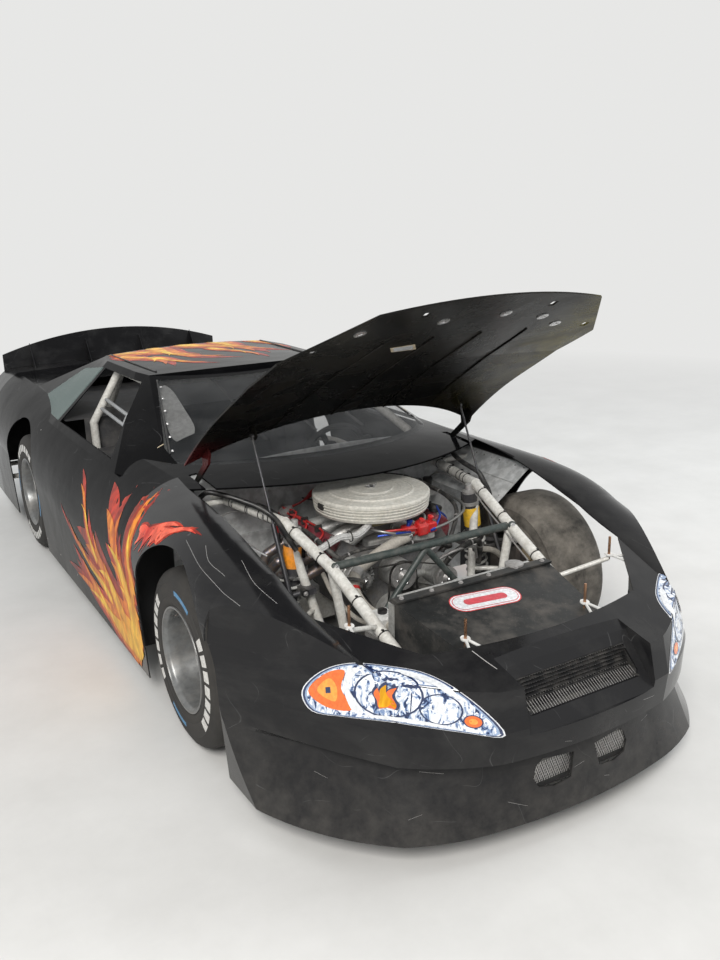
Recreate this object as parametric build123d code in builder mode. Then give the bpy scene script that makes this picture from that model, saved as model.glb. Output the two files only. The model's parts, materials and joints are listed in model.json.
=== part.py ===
"""Late model stock car with its hood propped open, in millimetres.

+Z is up, -Y is the nose, +X is the car's left side, and the tyres stand on z = 0.
Every size below is named once and used everywhere else by its name.
"""

import os
from math import cos, radians, sin

from build123d import *

os.makedirs("parts", exist_ok=True)

# driving dimensions: wheels and stance
FRONT_AXLE_Y = -1310.0
REAR_AXLE_Y = 1310.0
TRACK = 1600.0
TYRE_R = 350.0
TYRE_W = 270.0
# body
TAIL_Y = 2537.5
SKIN = 7.0
SKIRT_Z = 100.0
ARCH_R = 420.0
ARCH_Z = 385.0
FRONT_ARCH_Y = -1340.0
NOSE_SEAM_Y = -1700.0
DOOR_FRONT_Y = -800.0
DOOR_REAR_Y = 790.0
TAIL_SEAM_Y = 2250.0
ROOF_Z = 1190.0
ROOF_CROWN = 20.0
# hood and its hinge
HINGE_Y = -825.0
HINGE_Z = 870.0
HINGE_X = 650.0
HOOD_OPEN = 43.5
HOOD_GAP = 7.0
HINGE_SLOT = 18.0
# chassis tubes
RAIL_R = 22.0
CAGE_R = 22.0

# cross-sections of the lower body, one row per station along the car:
# y, half-width at the skirt, half-width of the side, height where the shoulder starts,
# a point on the shoulder, the shoulder's inner edge, height of the crown
SECTIONS = [
    ("y", "skirt_x", "side_x", "side_z", "mid_x", "mid_z", "edge_x", "edge_z", "crown_z"),
    (-2580, 900, 940, 400, 872, 505, 620, 552, 566),
    (-2200, 930, 965, 470, 908, 592, 640, 632, 652),
    (-1930, 938, 973, 545, 922, 668, 684, 700, 724),
    (-1700, 943, 975, 590, 934, 730, 695, 770, 792),
    (-1400, 945, 975, 630, 938, 797, 702, 842, 868),
    (-1100, 945, 975, 590, 933, 795, 710, 890, 923),
    (-700, 943, 973, 530, 920, 775, 728, 910, 957),
    (-200, 940, 970, 500, 905, 762, 745, 913, 965),
    (400, 940, 968, 495, 902, 768, 745, 920, 965),
    (1000, 940, 966, 500, 902, 785, 745, 928, 965),
    (1600, 938, 963, 505, 900, 798, 745, 934, 963),
    (2100, 935, 957, 505, 896, 800, 745, 937, 958),
    (2540, 930, 950, 500, 890, 800, 745, 938, 952),
]

# plan outlines that trim the nose and tail, one row per height:
# z, centre of the nose, y at x = 345, corner point x and y, y where the side starts,
# bulge of the wing curve x and y
PLANS = [
    ("z", "tip_y", "inner_y", "turn_x", "turn_y", "wing_x", "wing_y", "side_y"),
    (40, -2515, -2492, 640, -2405, 850, -2180, -1770),
    (75, -2512, -2488, 635, -2400, 845, -2175, -1765),
    (330, -2478, -2410, 610, -2268, 800, -2020, -1730),
    (348, -2528, -2495, 625, -2335, 815, -2035, -1705),
    (460, -2540, -2508, 625, -2340, 815, -2030, -1695),
    (600, -2505, -2470, 610, -2290, 795, -1990, -1660),
    (1050, -2380, -2340, 590, -2160, 790, -1870, -1530),
]
CORNER = 345.0
PLAN_X = 990.0
# the raked recess between the lamp pods: y and z down its slope, and its half-width
RECESS = [(-2325, 625), (-2377, 592), (-2402, 563), (-2486, 469), (-2524, 432)]
RECESS_X = 268.0


def rows(table):
    """The table's rows as dictionaries, by the names in its first row."""
    return [dict(zip(table[0], row)) for row in table[1:]]


def box(x0, x1, y0, y1, z0, z1):
    with BuildPart() as made:
        with Locations(((x0 + x1) / 2, (y0 + y1) / 2, (z0 + z1) / 2)):
            Box(abs(x1 - x0), abs(y1 - y0), abs(z1 - z0))
    return made.part


def side_prism(points, x0, x1):
    """A polygon of (y, z) points, drawn out along x."""
    with BuildPart() as made:
        with BuildSketch(Plane.YZ.offset(x0)):
            with BuildLine():
                Polyline(*points, close=True)
            make_face()
        extrude(amount=x1 - x0)
    return made.part


def front_prism(points, y0, y1):
    """A polygon of (x, z) points, drawn out along y."""
    with BuildPart() as made:
        with BuildSketch(Plane.XZ.offset(-y0)):
            with BuildLine():
                Polyline(*points, close=True)
            make_face()
        extrude(amount=-(y1 - y0))
    return made.part


def plan_prism(points, z0, z1):
    """A polygon of (x, y) points, drawn out along z."""
    with BuildPart() as made:
        with BuildSketch(Plane.XY.offset(z0)):
            with BuildLine():
                Polyline(*points, close=True)
            make_face()
        extrude(amount=z1 - z0)
    return made.part


def rod(start, end, radius):
    start, end = Vector(*start), Vector(*end)
    with BuildPart() as made:
        with BuildSketch(Plane(origin=start, z_dir=end - start)):
            Circle(radius)
        extrude(amount=(end - start).length)
    return made.part


def drum(centre, axis, radius, length):
    """A cylinder centred on a point, along the given direction."""
    centre, axis = Vector(*centre), Vector(*axis).normalized()
    half = axis * (length / 2)
    return rod(tuple(centre - half), tuple(centre + half), radius)


def tube(points, radius):
    """Straight tubes between the points, with balls at the bends."""
    with BuildPart() as made:
        for start, end in zip(points, points[1:]):
            add(rod(start, end, radius))
        for bend in points[1:-1]:
            with Locations(bend):
                Sphere(radius + 0.2)
    return made.part


def joined(*shapes):
    with BuildPart() as made:
        for shape in shapes:
            add(shape)
    return made.part


def less(shape, *cutters):
    with BuildPart() as made:
        add(shape)
        for cutter in cutters:
            add(cutter, mode=Mode.SUBTRACT)
    return made.part


def common(shape, region):
    with BuildPart() as made:
        add(shape)
        add(region, mode=Mode.INTERSECT)
    return made.part


def turned(shape, pivot_y, pivot_z, degrees):
    """The shape turned about a line along x; positive lifts what lies toward the nose."""
    away = Location((0, -pivot_y, -pivot_z))
    back = Location((0, pivot_y, pivot_z))
    return back * Location((0, 0, 0), (-degrees, 0, 0)) * away * shape


def mirrored(shape):
    """The shape together with its twin on the car's other side."""
    with BuildPart() as made:
        add(shape)
        mirror(about=Plane.YZ)
    return made.part


def save(shape, label):
    shape.label = label
    export_step(shape, f"parts/{label}.step")


def section_edges(row, inset, bottom):
    """Half-section corners of the lower body, pulled in by the inset."""
    return (
        (row["skirt_x"] - inset, bottom),
        (row["side_x"] - inset, row["side_z"]),
        (row["mid_x"] - 0.8 * inset, row["mid_z"] - 0.6 * inset),
        (row["edge_x"] - 0.2 * inset, row["edge_z"] - inset),
        (0, row["crown_z"] - inset),
    )


def across(points):
    """The same points on the other side of a section."""
    return [(-x, z) for x, z in points]


def lower_solid(first_y, last_y, inset, bottom):
    """The lower body as a solid between two stations."""
    with BuildPart() as made:
        for row in rows(SECTIONS):
            if first_y <= row["y"] <= last_y:
                here = section_edges(row, inset, bottom)
                foot, side, mid, edge, crown = here
                foot2, side2, mid2, edge2, crown2 = across(here)
                with BuildSketch(Plane.XZ.offset(-row["y"])):
                    with BuildLine():
                        Line(foot2, foot)
                        Line(foot, side)
                        ThreePointArc(side, mid, edge)
                        ThreePointArc(edge, crown, edge2)
                        ThreePointArc(edge2, mid2, side2)
                        Line(side2, foot2)
                    make_face()
        loft()
    return made.part


def plan_solid(inset, rear_y):
    """Plan outlines stacked by height, which give the nose its front."""
    with BuildPart() as made:
        for row in rows(PLANS):
            tip, inner = row["tip_y"] + inset, row["inner_y"] + inset
            turn = (row["turn_x"] - 0.6 * inset, row["turn_y"] + 0.8 * inset)
            wing = (row["wing_x"] - 0.8 * inset, row["wing_y"] + 0.6 * inset)
            side = (PLAN_X - inset, row["side_y"] + inset)
            half = ((CORNER + turn[0]) / 2 + 8, (inner + turn[1]) / 2 - 12)
            centre, rear = (CORNER, inner), (PLAN_X - inset, rear_y)
            centre2, half2, turn2, wing2, side2, rear2 = across(
                (centre, half, turn, wing, side, rear)
            )
            with BuildSketch(Plane.XY.offset(row["z"])):
                with BuildLine():
                    ThreePointArc(centre2, (0, tip), centre)
                    ThreePointArc(centre, half, turn)
                    ThreePointArc(turn, wing, side)
                    Line(side, rear)
                    Line(rear, rear2)
                    Line(rear2, side2)
                    ThreePointArc(side2, wing2, turn2)
                    ThreePointArc(turn2, half2, centre2)
                make_face()
        loft(ruled=True)
    return made.part


def recess(inset):
    """What is taken off between the lamp pods, grown by the inset."""
    slope = [(y + 0.75 * inset, z - 0.7 * inset) for y, z in RECESS]
    top = RECESS[0][1] + 100
    return side_prism(
        [(RECESS[0][0] + inset, top), *slope, (-2650, slope[-1][1]), (-2650, top)],
        -RECESS_X - inset, RECESS_X + inset,
    )


# lower body: the nose is trimmed by its plan, the rest is one plain band
NOSE_FROM_Y, BODY_TO_Y = -2580.0, 2540.0
nose_outside = less(
    common(lower_solid(NOSE_FROM_Y, NOSE_SEAM_Y, 0, SKIRT_Z), plan_solid(0, NOSE_SEAM_Y + 300)),
    recess(0),
)
nose_inside = less(
    common(
        lower_solid(NOSE_FROM_Y, NOSE_SEAM_Y, SKIN, SKIRT_Z - 30),
        plan_solid(SKIN, NOSE_SEAM_Y + 300),
    ),
    recess(SKIN),
)
nose_shell = less(nose_outside, nose_inside)
body_solid = lower_solid(NOSE_SEAM_Y, BODY_TO_Y, 0, SKIRT_Z)
body_inside = lower_solid(NOSE_SEAM_Y, BODY_TO_Y, SKIN, SKIRT_Z - 30)
band = less(body_solid, body_inside)


def arch(centre_y, radius):
    return joined(
        drum((0, centre_y, ARCH_Z), (1, 0, 0), radius, 2400),
        box(-1200, 1200, centre_y - radius, centre_y + radius, -50, ARCH_Z),
    )


# the hood's outline in plan, and the same with the gap around it
def hood_outline(grow, z0, z1):
    with BuildPart() as made:
        with BuildSketch(Plane.XY.offset(z0)):
            with BuildLine():
                rear_x, rear_y = 718 + grow, -965 + grow
                out_x, out_y = 682 + grow, -1925 - 0.3 * grow
                nose_x, nose_y = 455 + 0.5 * grow, -2225 - grow
                ThreePointArc((-rear_x, rear_y), (0, -1215 + grow), (rear_x, rear_y))
                Line((rear_x, rear_y), (out_x, out_y))
                Line((out_x, out_y), (nose_x, nose_y))
                ThreePointArc((nose_x, nose_y), (0, -2285 - grow), (-nose_x, nose_y))
                Line((-nose_x, nose_y), (-out_x, out_y))
                Line((-out_x, out_y), (-rear_x, rear_y))
            make_face()
        extrude(amount=z1 - z0)
    return made.part


hood_hole = hood_outline(HOOD_GAP, 400, 1100)

# greenhouse: base and roof outlines, each from the front corner back along one side
BASE = [("x", "y"), (682, -545), (785, -230), (785, 800), (735, 1690)]
ROOF = [("x", "y"), (508, 104), (528, 260), (540, 720), (500, 900)]
BASE_FRONT_Y = -1010.0
BASE_REAR_Y = 1730.0
ROOF_FRONT_Y = 10.0
ROOF_REAR_Y = 930.0
BASE_Z = 925.0
FOOT_Z = 850.0


def glass_house(inset, roof_z):
    """The greenhouse as a solid whose foot lies below the body's top."""
    down = (BASE_Z - FOOT_Z) / (ROOF_Z - BASE_Z)
    foot = [
        (b["x"] + down * (b["x"] - t["x"]), b["y"] + down * (b["y"] - t["y"]))
        for b, t in zip(rows(BASE), rows(ROOF))
    ]
    foot_front = BASE_FRONT_Y + down * (BASE_FRONT_Y - ROOF_FRONT_Y)
    foot_rear = BASE_REAR_Y + down * (BASE_REAR_Y - ROOF_REAR_Y)
    up = (roof_z - FOOT_Z) / (ROOF_Z - FOOT_Z)
    with BuildPart() as made:
        for level in (0, up):
            z = FOOT_Z + level * (ROOF_Z - FOOT_Z)
            side = []
            for (fx, fy), t in zip(foot, rows(ROOF)):
                side.append((fx + level * (t["x"] - fx) - inset, fy + level * (t["y"] - fy)))
            front = foot_front + level * (ROOF_FRONT_Y - foot_front) + 3.0 * inset
            rear = foot_rear + level * (ROOF_REAR_Y - foot_rear) - 2.5 * inset
            side[0] = (side[0][0], side[0][1] + 2.2 * inset)
            side[3] = (side[3][0], side[3][1] - 1.5 * inset)
            other = across(side)
            with BuildSketch(Plane.XY.offset(z)):
                with BuildLine():
                    ThreePointArc(other[0], (0, front), side[0])
                    Polyline(*side)
                    ThreePointArc(side[3], (0, rear), other[3])
                    Polyline(*other[::-1])
                make_face()
        loft(ruled=True)
    return made.part


def roof_top():
    """The crowned top above the roof outline."""
    crown_r = 540.0**2 / (2 * ROOF_CROWN) + ROOF_CROWN / 2
    top_face = glass_house(0, ROOF_Z).faces().sort_by(Axis.Z)[-1]
    with BuildPart() as made:
        extrude(top_face, amount=ROOF_CROWN + 5)
        with Locations(Location((0, 500, ROOF_Z + ROOF_CROWN - crown_r), (90, 0, 0))):
            Cylinder(crown_r, 2400, mode=Mode.INTERSECT)
    return made.part


house = joined(glass_house(0, ROOF_Z), roof_top())
house_shell = less(house, glass_house(SKIN, ROOF_Z - SKIN), body_solid)
windscreen_hole = front_prism(
    [(-650, 920), (650, 920), (652, 960), (492, 1172), (-492, 1172), (-652, 960)], -1400, 60
)
rear_hole = front_prism([(-640, 950), (640, 950), (455, 1165), (-455, 1165)], 905, 1800)
side_hole = side_prism([(-225, 880), (748, 880), (672, 1160), (125, 1160)], -900, 900)
quarter_hole = side_prism([(792, 880), (1440, 880), (1060, 1110), (706, 1160)], -900, 900)
windscreen = common(house_shell, windscreen_hole)
rear_window = common(house_shell, rear_hole)
quarter_windows = common(house_shell, quarter_hole)
roof = less(house_shell, windscreen_hole, rear_hole, side_hole, quarter_hole)
cabin_hole = glass_house(2 * SKIN, ROOF_Z - SKIN)

# panels of the lower body
nose_cut = less(nose_shell, hood_hole, arch(FRONT_ARCH_Y, ARCH_R))
hood_front = common(nose_shell, hood_outline(0, 400, 1100))
hood_rear = common(
    common(band, box(-1100, 1100, NOSE_SEAM_Y, -900, 0, 1200)), hood_outline(0, 400, 1100)
)
hood_closed = joined(hood_front, hood_rear)

# grille opening and the lower inlets
GRILLE = [(-230, 561), (-240, 486), (-228, 471), (228, 471), (240, 486), (230, 561)]
INLET = [(62, 202), (130, 192), (188, 203), (204, 235), (192, 272), (165, 292), (45, 284)]
INLETS = [INLET, across(INLET)]
nose = less(
    nose_cut,
    front_prism(GRILLE, -2600, -2380),
    *[front_prism(points, -2600, -2380) for points in INLETS],
)
cowl_region = plan_prism(
    [(-726, -1250), (726, -1250), (726, -960), (690, -545), (0, -545), (-690, -545),
     (-726, -960)], 800, 1100
)
deck_region = plan_prism(
    [(-745, 1500), (745, 1500), (745, TAIL_SEAM_Y), (-745, TAIL_SEAM_Y)], 850, 1100
)
front_band = common(band, box(-1100, 1100, NOSE_SEAM_Y, DOOR_FRONT_Y, 0, 1200))
front_band = less(front_band, hood_hole, arch(FRONT_ARCH_Y, ARCH_R))
door_band = common(band, box(-1100, 1100, DOOR_FRONT_Y, DOOR_REAR_Y, 0, 1200))
door_band = less(door_band, cabin_hole)
rear_band = common(band, box(-1100, 1100, DOOR_REAR_Y, TAIL_SEAM_Y, 0, 1200))
rear_band = less(rear_band, cabin_hole, arch(REAR_AXLE_Y, ARCH_R))
tail_band = common(band, box(-1100, 1100, TAIL_SEAM_Y, TAIL_Y - SKIN, 0, 1200))

fender_left = less(common(front_band, box(0, 1100, -1750, -700, 0, 1200)), cowl_region)
fender_right = less(common(front_band, box(-1100, 0, -1750, -700, 0, 1200)), cowl_region)
cowl = joined(
    less(common(front_band, cowl_region), cabin_hole), common(door_band, cowl_region)
)
doors = less(door_band, cowl_region)
quarters = less(rear_band, deck_region)
deck = common(rear_band, deck_region)

tail_plate = common(body_solid, box(-1100, 1100, TAIL_Y - SKIN, TAIL_Y, SKIRT_Z + 160, 1200))
tail = joined(tail_band, tail_plate)

# hood: shut shape first, then turned up about its hinge
PIN_SPOTS = [(263, -2190), (582, -1988)]
PIN_R = 5.0
STRUT_X = 508.0
STRUT_FOOT = (-1450.0, 450.0)
STRUT_HEAD = (-1215.0, 846.0)
hood_plate = less(
    hood_closed,
    *[box(x - 13, x + 13, y - 16, y + 16, 500, 900) for x, y in PIN_SPOTS],
    *[box(-x - 13, -x + 13, y - 16, y + 16, 500, 900) for x, y in PIN_SPOTS],
)


def hinge_arm(x):
    arm = side_prism(
        [(-1095, 860), (-1050, 840), (HINGE_Y - 8, HINGE_Z - 12), (HINGE_Y + 8, HINGE_Z - 8),
         (HINGE_Y + 8, HINGE_Z + 8), (HINGE_Y - 12, HINGE_Z + 10), (-1000, 872), (-1024, 905),
         (-1095, 905)], x - 5, x + 5
    )
    arm = common(arm, body_inside)
    return less(arm, drum((x, HINGE_Y, HINGE_Z), (1, 0, 0), 6.6, 40))


def strut_tab(x):
    y, z = STRUT_HEAD
    tab = side_prism([(y - 30, z + 60), (y - 14, z - 12), (y + 14, z - 12), (y + 30, z + 60)],
                     x - 3, x + 3)
    return less(common(tab, body_inside), drum((x, y, z), (1, 0, 0), 5.2, 40))


hood_shut = joined(
    hood_plate,
    *[hinge_arm(side * HINGE_X) for side in (-1, 1)],
    *[strut_tab(side * (STRUT_X - 14)) for side in (-1, 1)],
)
hood = turned(hood_shut, HINGE_Y, HINGE_Z, HOOD_OPEN)
cowl = less(
    cowl, *[box(side * HINGE_X - HINGE_SLOT, side * HINGE_X + HINGE_SLOT,
                -1100, HINGE_Y + HINGE_SLOT, 850, 1000)
            for side in (-1, 1)]
)

# hood struts, drawn at their open length between foot and head
swing, lift = sin(radians(HOOD_OPEN)), cos(radians(HOOD_OPEN))
reach_y, reach_z = STRUT_HEAD[0] - HINGE_Y, STRUT_HEAD[1] - HINGE_Z
HEAD_OPEN = (
    HINGE_Y + reach_y * lift + reach_z * swing, HINGE_Z - reach_y * swing + reach_z * lift
)
strut_y, strut_z = HEAD_OPEN[0] - STRUT_FOOT[0], HEAD_OPEN[1] - STRUT_FOOT[1]
STRUT_LONG = (strut_y**2 + strut_z**2) ** 0.5
STRUT_DIR = (0, strut_y / STRUT_LONG, strut_z / STRUT_LONG)
CYLINDER_LONG = 390.0


def along_strut(x, distance):
    return (
        x, STRUT_FOOT[0] + STRUT_DIR[1] * distance, STRUT_FOOT[1] + STRUT_DIR[2] * distance
    )


def strut_tube(x):
    barrel = joined(
        rod(along_strut(x, 7), along_strut(x, CYLINDER_LONG), 10),
        drum((x, *STRUT_FOOT), (1, 0, 0), 11, 12),
    )
    return less(
        barrel,
        rod(along_strut(x, 30), along_strut(x, CYLINDER_LONG + 10), 5.5),
        drum((x, *STRUT_FOOT), (1, 0, 0), 5.4, 30),
    )


def strut_rod(x):
    shaft = joined(
        rod(along_strut(x, CYLINDER_LONG - 25), along_strut(x, STRUT_LONG - 6), 4.5),
        drum((x, *HEAD_OPEN), (1, 0, 0), 10, 10),
    )
    return less(shaft, drum((x, *HEAD_OPEN), (1, 0, 0), 4.8, 30))


# perimeter frame
LOW_RAIL_X, SILL_X, REAR_RAIL_X = 330.0, 630.0, 470.0
sill_y0, sill_y1 = -760.0, 800.0
REAR_RAIL = [
    (740, 110), (900, 110), (1070, 440), (1570, 440), (1750, 290), (2360, 290), (2360, 350),
    (1775, 350), (1590, 500), (1045, 500), (870, 190), (740, 190),
]
frame = joined(
    *[box(side * LOW_RAIL_X - 30, side * LOW_RAIL_X + 30, -2150, sill_y0 - 60, 150, 250)
      for side in (-1, 1)],
    *[box(side * SILL_X - 30, side * SILL_X + 30, sill_y0, sill_y1, 110, 190)
      for side in (-1, 1)],
    box(-660, 660, sill_y0 - 60, sill_y0, 110, 250),
    box(-660, 660, sill_y1 - 60, sill_y1, 110, 190),
    box(-360, 360, -2200, -2150, 150, 250),
    box(-360, 360, -1370, -1250, 150, 190),
    *[side_prism(REAR_RAIL, side * REAR_RAIL_X - 30, side * REAR_RAIL_X + 30)
      for side in (-1, 1)],
    box(-500, 500, 2300, 2360, 290, 350),
    *[rod((side * 500, y, z), (side * 1100, y, z), 16)
      for side in (-1, 1) for y, z in ((1850, 320), (2200, 320))],
    *[rod((side * 640, y, 160), (side * 1100, y, 200), 14)
      for side in (-1, 1) for y in (-700, 0, 700)],
)
frame = common(frame, joined(body_inside, box(-700, 700, -2300, NOSE_SEAM_Y + 20, 0, 900)))


# roll cage
def cage_side():
    """Hoop, roof bar and door bars of the left side."""
    bars = [
        tube([(630, -730, 185), (655, -480, 865), (500, 110, 1148), (500, 640, 1148),
              (655, 700, 860), (640, 700, 185)], CAGE_R),
        tube([(492, 640, 1140), (455, 1500, 500)], CAGE_R),
        rod((652, -515, 785), (600, -560, 806), CAGE_R),
    ]
    for height in DOOR_BARS:
        bars.append(tube([(640, -640, height), (735, -350, height), (735, 420, height),
                          (645, 700, height)], DOOR_BAR_R))
    bars.append(common(rod((735, 0, DOOR_BARS[-1]), (1100, 0, DOOR_BARS[-1] + 30), 14),
                       body_inside))
    return joined(*bars)


DOOR_BARS = [330, 470, 610]
DOOR_BAR_R = 19.0
cage = joined(
    mirrored(cage_side()),
    rod((-500, 110, 1148), (500, 110, 1148), CAGE_R),
    rod((-500, 640, 1148), (500, 640, 1148), CAGE_R),
    rod((-650, -514, 785), (650, -514, 785), CAGE_R),
    rod((-630, 700, 215), (560, 672, 1010), CAGE_R),
    tube([(-470, 1400, 495), (-470, 1400, 640), (470, 1400, 640), (470, 1400, 495)], 19),
)
cage = less(cage, frame)

# front clip: the white tubes around the engine
RAIL_BEND = (423.0, -1586.0, 703.0)
RAIL_MID = (467.0, -1297.0, 803.0)


def clip_side():
    """Rails, posts and brackets of the left side."""
    return joined(
        tube([(600, -560, 806), RAIL_MID, RAIL_BEND, (395, -2120, 470), (345, -2150, 245)],
             RAIL_R),
        rod(RAIL_BEND, (340, -1586, 245), 18),
        rod(RAIL_MID, (345, -1420, 245), 18),
        rod((395, -2120, 470), (395, -2340, 375), 16),
        rod((404, -1880, 576), (PIN_SPOTS[1][0], PIN_SPOTS[1][1], 652), 9),
        rod((388, -1372, 450), (STRUT_X - 16, *STRUT_FOOT), 10),
        rod((STRUT_X - 20, *STRUT_FOOT), (STRUT_X + 9, *STRUT_FOOT), 5),
        rod((560, -900, 804), (1100, -900, 804), 12),
        rod((300, -2330, 375), (300, -2600, 385), 12),
    )


clip = joined(mirrored(clip_side()), rod((-560, -2330, 375), (560, -2330, 375), 16))
clip = less(common(clip, joined(body_inside, nose_inside)), frame, cage)
brace = less(
    joined(
        rod((-423, -1586, 703), (423, -1586, 703), 16),
        tube([(-338, -1586, 300), (0, -1586, 690), (338, -1586, 300)], 13),
    ),
    clip,
)

# firewall, floor and the sheet-metal cockpit
ENGINE_Y = -1310.0
SIDE_SHEET = [(560, 690), (820, 883), (820, 888), (557, 694)]
firewall = less(
    common(
        joined(
            box(-1100, 1100, -806, -800, 192, 1000),
            *[front_prism(points, -1320, -806) for points in (SIDE_SHEET, across(SIDE_SHEET))],
        ),
        body_inside,
    ),
    drum((0, -780, 380), (0, 1, 0), 122, 100),
    cage, frame, clip,
)
BRACKET_X = HINGE_X + HINGE_SLOT - 7
hinge_brackets = joined(
    *[common(box(side * BRACKET_X, side * (BRACKET_X + 6), HINGE_Y - 20, -806, 830,
                 HINGE_Z + 40), body_inside)
      for side in (-1, 1)],
    *[rod((side * (HINGE_X - 9), HINGE_Y, HINGE_Z), (side * (BRACKET_X + 6), HINGE_Y, HINGE_Z),
          6) for side in (-1, 1)],
)
cockpit = less(
    joined(
        box(-600, 600, -760, 740, 130, 134),
        common(box(-1000, 120, -470, 660, 716, 720), body_inside),
        box(114, 120, -470, 660, 134, 716),
        box(-700, 700, 722, 726, 190, 884),
        common(box(-1000, 1000, 726, 1700, 880, 884), body_inside),
        box(-620, 620, -492, -480, 690, 830),
    ),
    cage, frame,
    drum((0, 700, 360), (0, 1, 0), 60, 200),
    *[rod((side * 500, 640, 1148), (side * 455, 1500, 500), CAGE_R + 2) for side in (-1, 1)],
)

# seat, steering wheel
SEAT_X = 330.0
seat = joined(
    box(SEAT_X - 190, SEAT_X + 190, -60, 340, 210, 240),
    side_prism([(300, 210), (345, 210), (470, 820), (440, 828)], SEAT_X - 190, SEAT_X + 190),
    *[side_prism([(-60, 210), (340, 210), (470, 820), (330, 800), (230, 430), (-60, 330)],
                 SEAT_X + side * 195 - 5, SEAT_X + side * 195 + 5) for side in (-1, 1)],
    side_prism([(440, 826), (470, 820), (500, 960), (470, 966)], SEAT_X - 130, SEAT_X + 130),
    *[side_prism([(470, 820), (500, 960), (300, 960), (330, 830)],
                 SEAT_X + side * 130 - 5, SEAT_X + side * 130 + 5) for side in (-1, 1)],
    *[box(SEAT_X + side * 120 - 15, SEAT_X + side * 120 + 15, 0, 300, 134, 212)
      for side in (-1, 1)],
)
WHEEL_AT = (SEAT_X, -250.0, 730.0)
with BuildPart() as made:
    with Locations(Location(WHEEL_AT, (-68, 0, 0))):
        Torus(180, 15)
        Cylinder(42, 16)
        for turn in (0, 120, 240):
            with Locations(Location((0, 0, 0), (0, 0, turn))):
                with Locations((92, 0, 0)):
                    Box(170, 30, 6)
rim_part = made.part
steering_wheel = less(
    joined(rim_part, rod((SEAT_X, -252, 729), (SEAT_X, -490, 632), 16),
           rod((SEAT_X, -470, 642), (SEAT_X, -486, 692), 5)), cockpit, cage
)

# engine: plain block with heads, covers, intake and pan
AIR_AT = (0.0, -1180.0)
AIR_TOP = 840.0
AIR_R = 250.0
AIR_GROOVES = 4
AIR_PITCH = 13.0
CARB_R = 62.0
block = joined(
    front_prism([(-95, 300), (95, 300), (130, 430), (290, 600), (230, 690), (120, 620),
                 (-120, 620), (-230, 690), (-290, 600), (-130, 430)], -1330, -850),
    box(-105, 105, -1330, -1020, 205, 300),
    box(-90, 90, -1020, -850, 260, 300),
    box(-70, 70, AIR_AT[1] - 70, AIR_AT[1] + 70, 620, 740),
    drum((*AIR_AT, AIR_TOP - 94), (0, 0, 1), CARB_R, 32),
    drum((0, -770, 380), (0, 1, 0), 118, 160),
    front_prism([(-90, 300), (90, 300), (110, 430), (-110, 430)], -690, -300),
)


def valve_cover():
    """A domed cover along the left cylinder head."""
    with BuildPart() as made:
        with BuildSketch(Plane.XZ.offset(1320)):
            with BuildLine():
                Polyline((307, 611), (290, 600), (230, 690), (247, 701))
                ThreePointArc((247, 701), (304, 675), (307, 611))
            make_face()
        extrude(amount=-450)
        fillet(made.edges().filter_by(GeomType.CIRCLE), 12)
    return made.part


covers = mirrored(valve_cover())


def air_filter():
    """A round can with pressed grooves in its wall and a stepped lid."""
    low, top = AIR_TOP - 92, AIR_TOP - 10
    profile = [(CARB_R + 0.2, low), (AIR_R - 34, low), (AIR_R - 12, low + 8)]
    for groove in range(AIR_GROOVES):
        z = low + 20 + groove * AIR_PITCH
        edge = AIR_R - 6 + 2 * groove
        profile += [(edge, z), (edge - 4, z + 2), (edge - 4, z + 5), (edge, z + 7)]
    profile += [
        (AIR_R, top - 7), (AIR_R - 7, top), (AIR_R - 66, top), (AIR_R - 74, top + 5),
        (AIR_R - 150, top + 5), (AIR_R - 160, top + 10), (0, top + 10), (0, low + 20),
        (CARB_R + 0.2, low + 20),
    ]
    with BuildPart() as made:
        with BuildSketch(Plane.XZ):
            with BuildLine():
                Polyline(*profile, close=True)
            make_face()
        revolve(axis=Axis.Z)
    return Location((*AIR_AT, 0)) * made.part


air_cleaner = air_filter()


def header():
    """Four pipes and their collector on the left side."""
    pipes = [
        tube([(268, y, 575), (364, y + 25, 520), (430, -862, 345)], 22)
        for y in (-1255, -1140, -1025, -910)
    ]
    return joined(*pipes, tube([(430, -885, 375), (430, -852, 312)], 44))


headers = less(mirrored(header()), block, frame, clip, firewall)
accessories = joined(
    drum((0, -1360, 330), (0, 1, 0), 85, 60),
    drum((0, -1368, 520), (0, 1, 0), 62, 76),
    drum((-210, -1380, 560), (0, 1, 0), 62, 100),
    rod((-120, -1340, 560), (-210, -1340, 560), 16),
    drum((205, -1375, 470), (0, 1, 0), 52, 90),
    rod((100, -1340, 470), (205, -1340, 470), 16),
    drum((-70, -905, 680), (0, 0, 1), 48, 140),
)
accessories = less(accessories, block, covers, clip, brace)

# radiator with its duct to the grille
RADIATOR_Y = -1900.0
DUCT_FRONT_Y = -2376.0
DUCT_WALL = 4.0
# y, half-width, foot and top of the duct at its two ends
DUCT = [("y", "half", "low", "top"), (DUCT_FRONT_Y, 275, 432, 562), (RADIATOR_Y, 350, 300, 658)]
radiator = joined(
    box(-300, 300, RADIATOR_Y, -1840, 262, 655),
    box(-340, -300, RADIATOR_Y + 4, -1844, 250, 640),
    box(300, 340, RADIATOR_Y + 4, -1844, 250, 640),
    drum((0, -1826, 455), (0, 1, 0), 190, 28),
)
radiator = less(radiator, frame, clip, brace)


def duct_solid(inset):
    with BuildPart() as made:
        for row in rows(DUCT):
            wide, low, top = row["half"] - inset, row["low"] + inset, row["top"] - inset
            with BuildSketch(Plane.XZ.offset(-row["y"])):
                with BuildLine():
                    Polyline((-wide, low), (wide, low), (wide, top), (-wide, top), close=True)
                make_face()
        loft(ruled=True)
    return made.part


duct = joined(
    less(duct_solid(0), duct_solid(DUCT_WALL)),
    box(-355, 355, RADIATOR_Y - 14, RADIATOR_Y + 25, 655, 664),
)
duct = less(duct, clip, frame)


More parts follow.
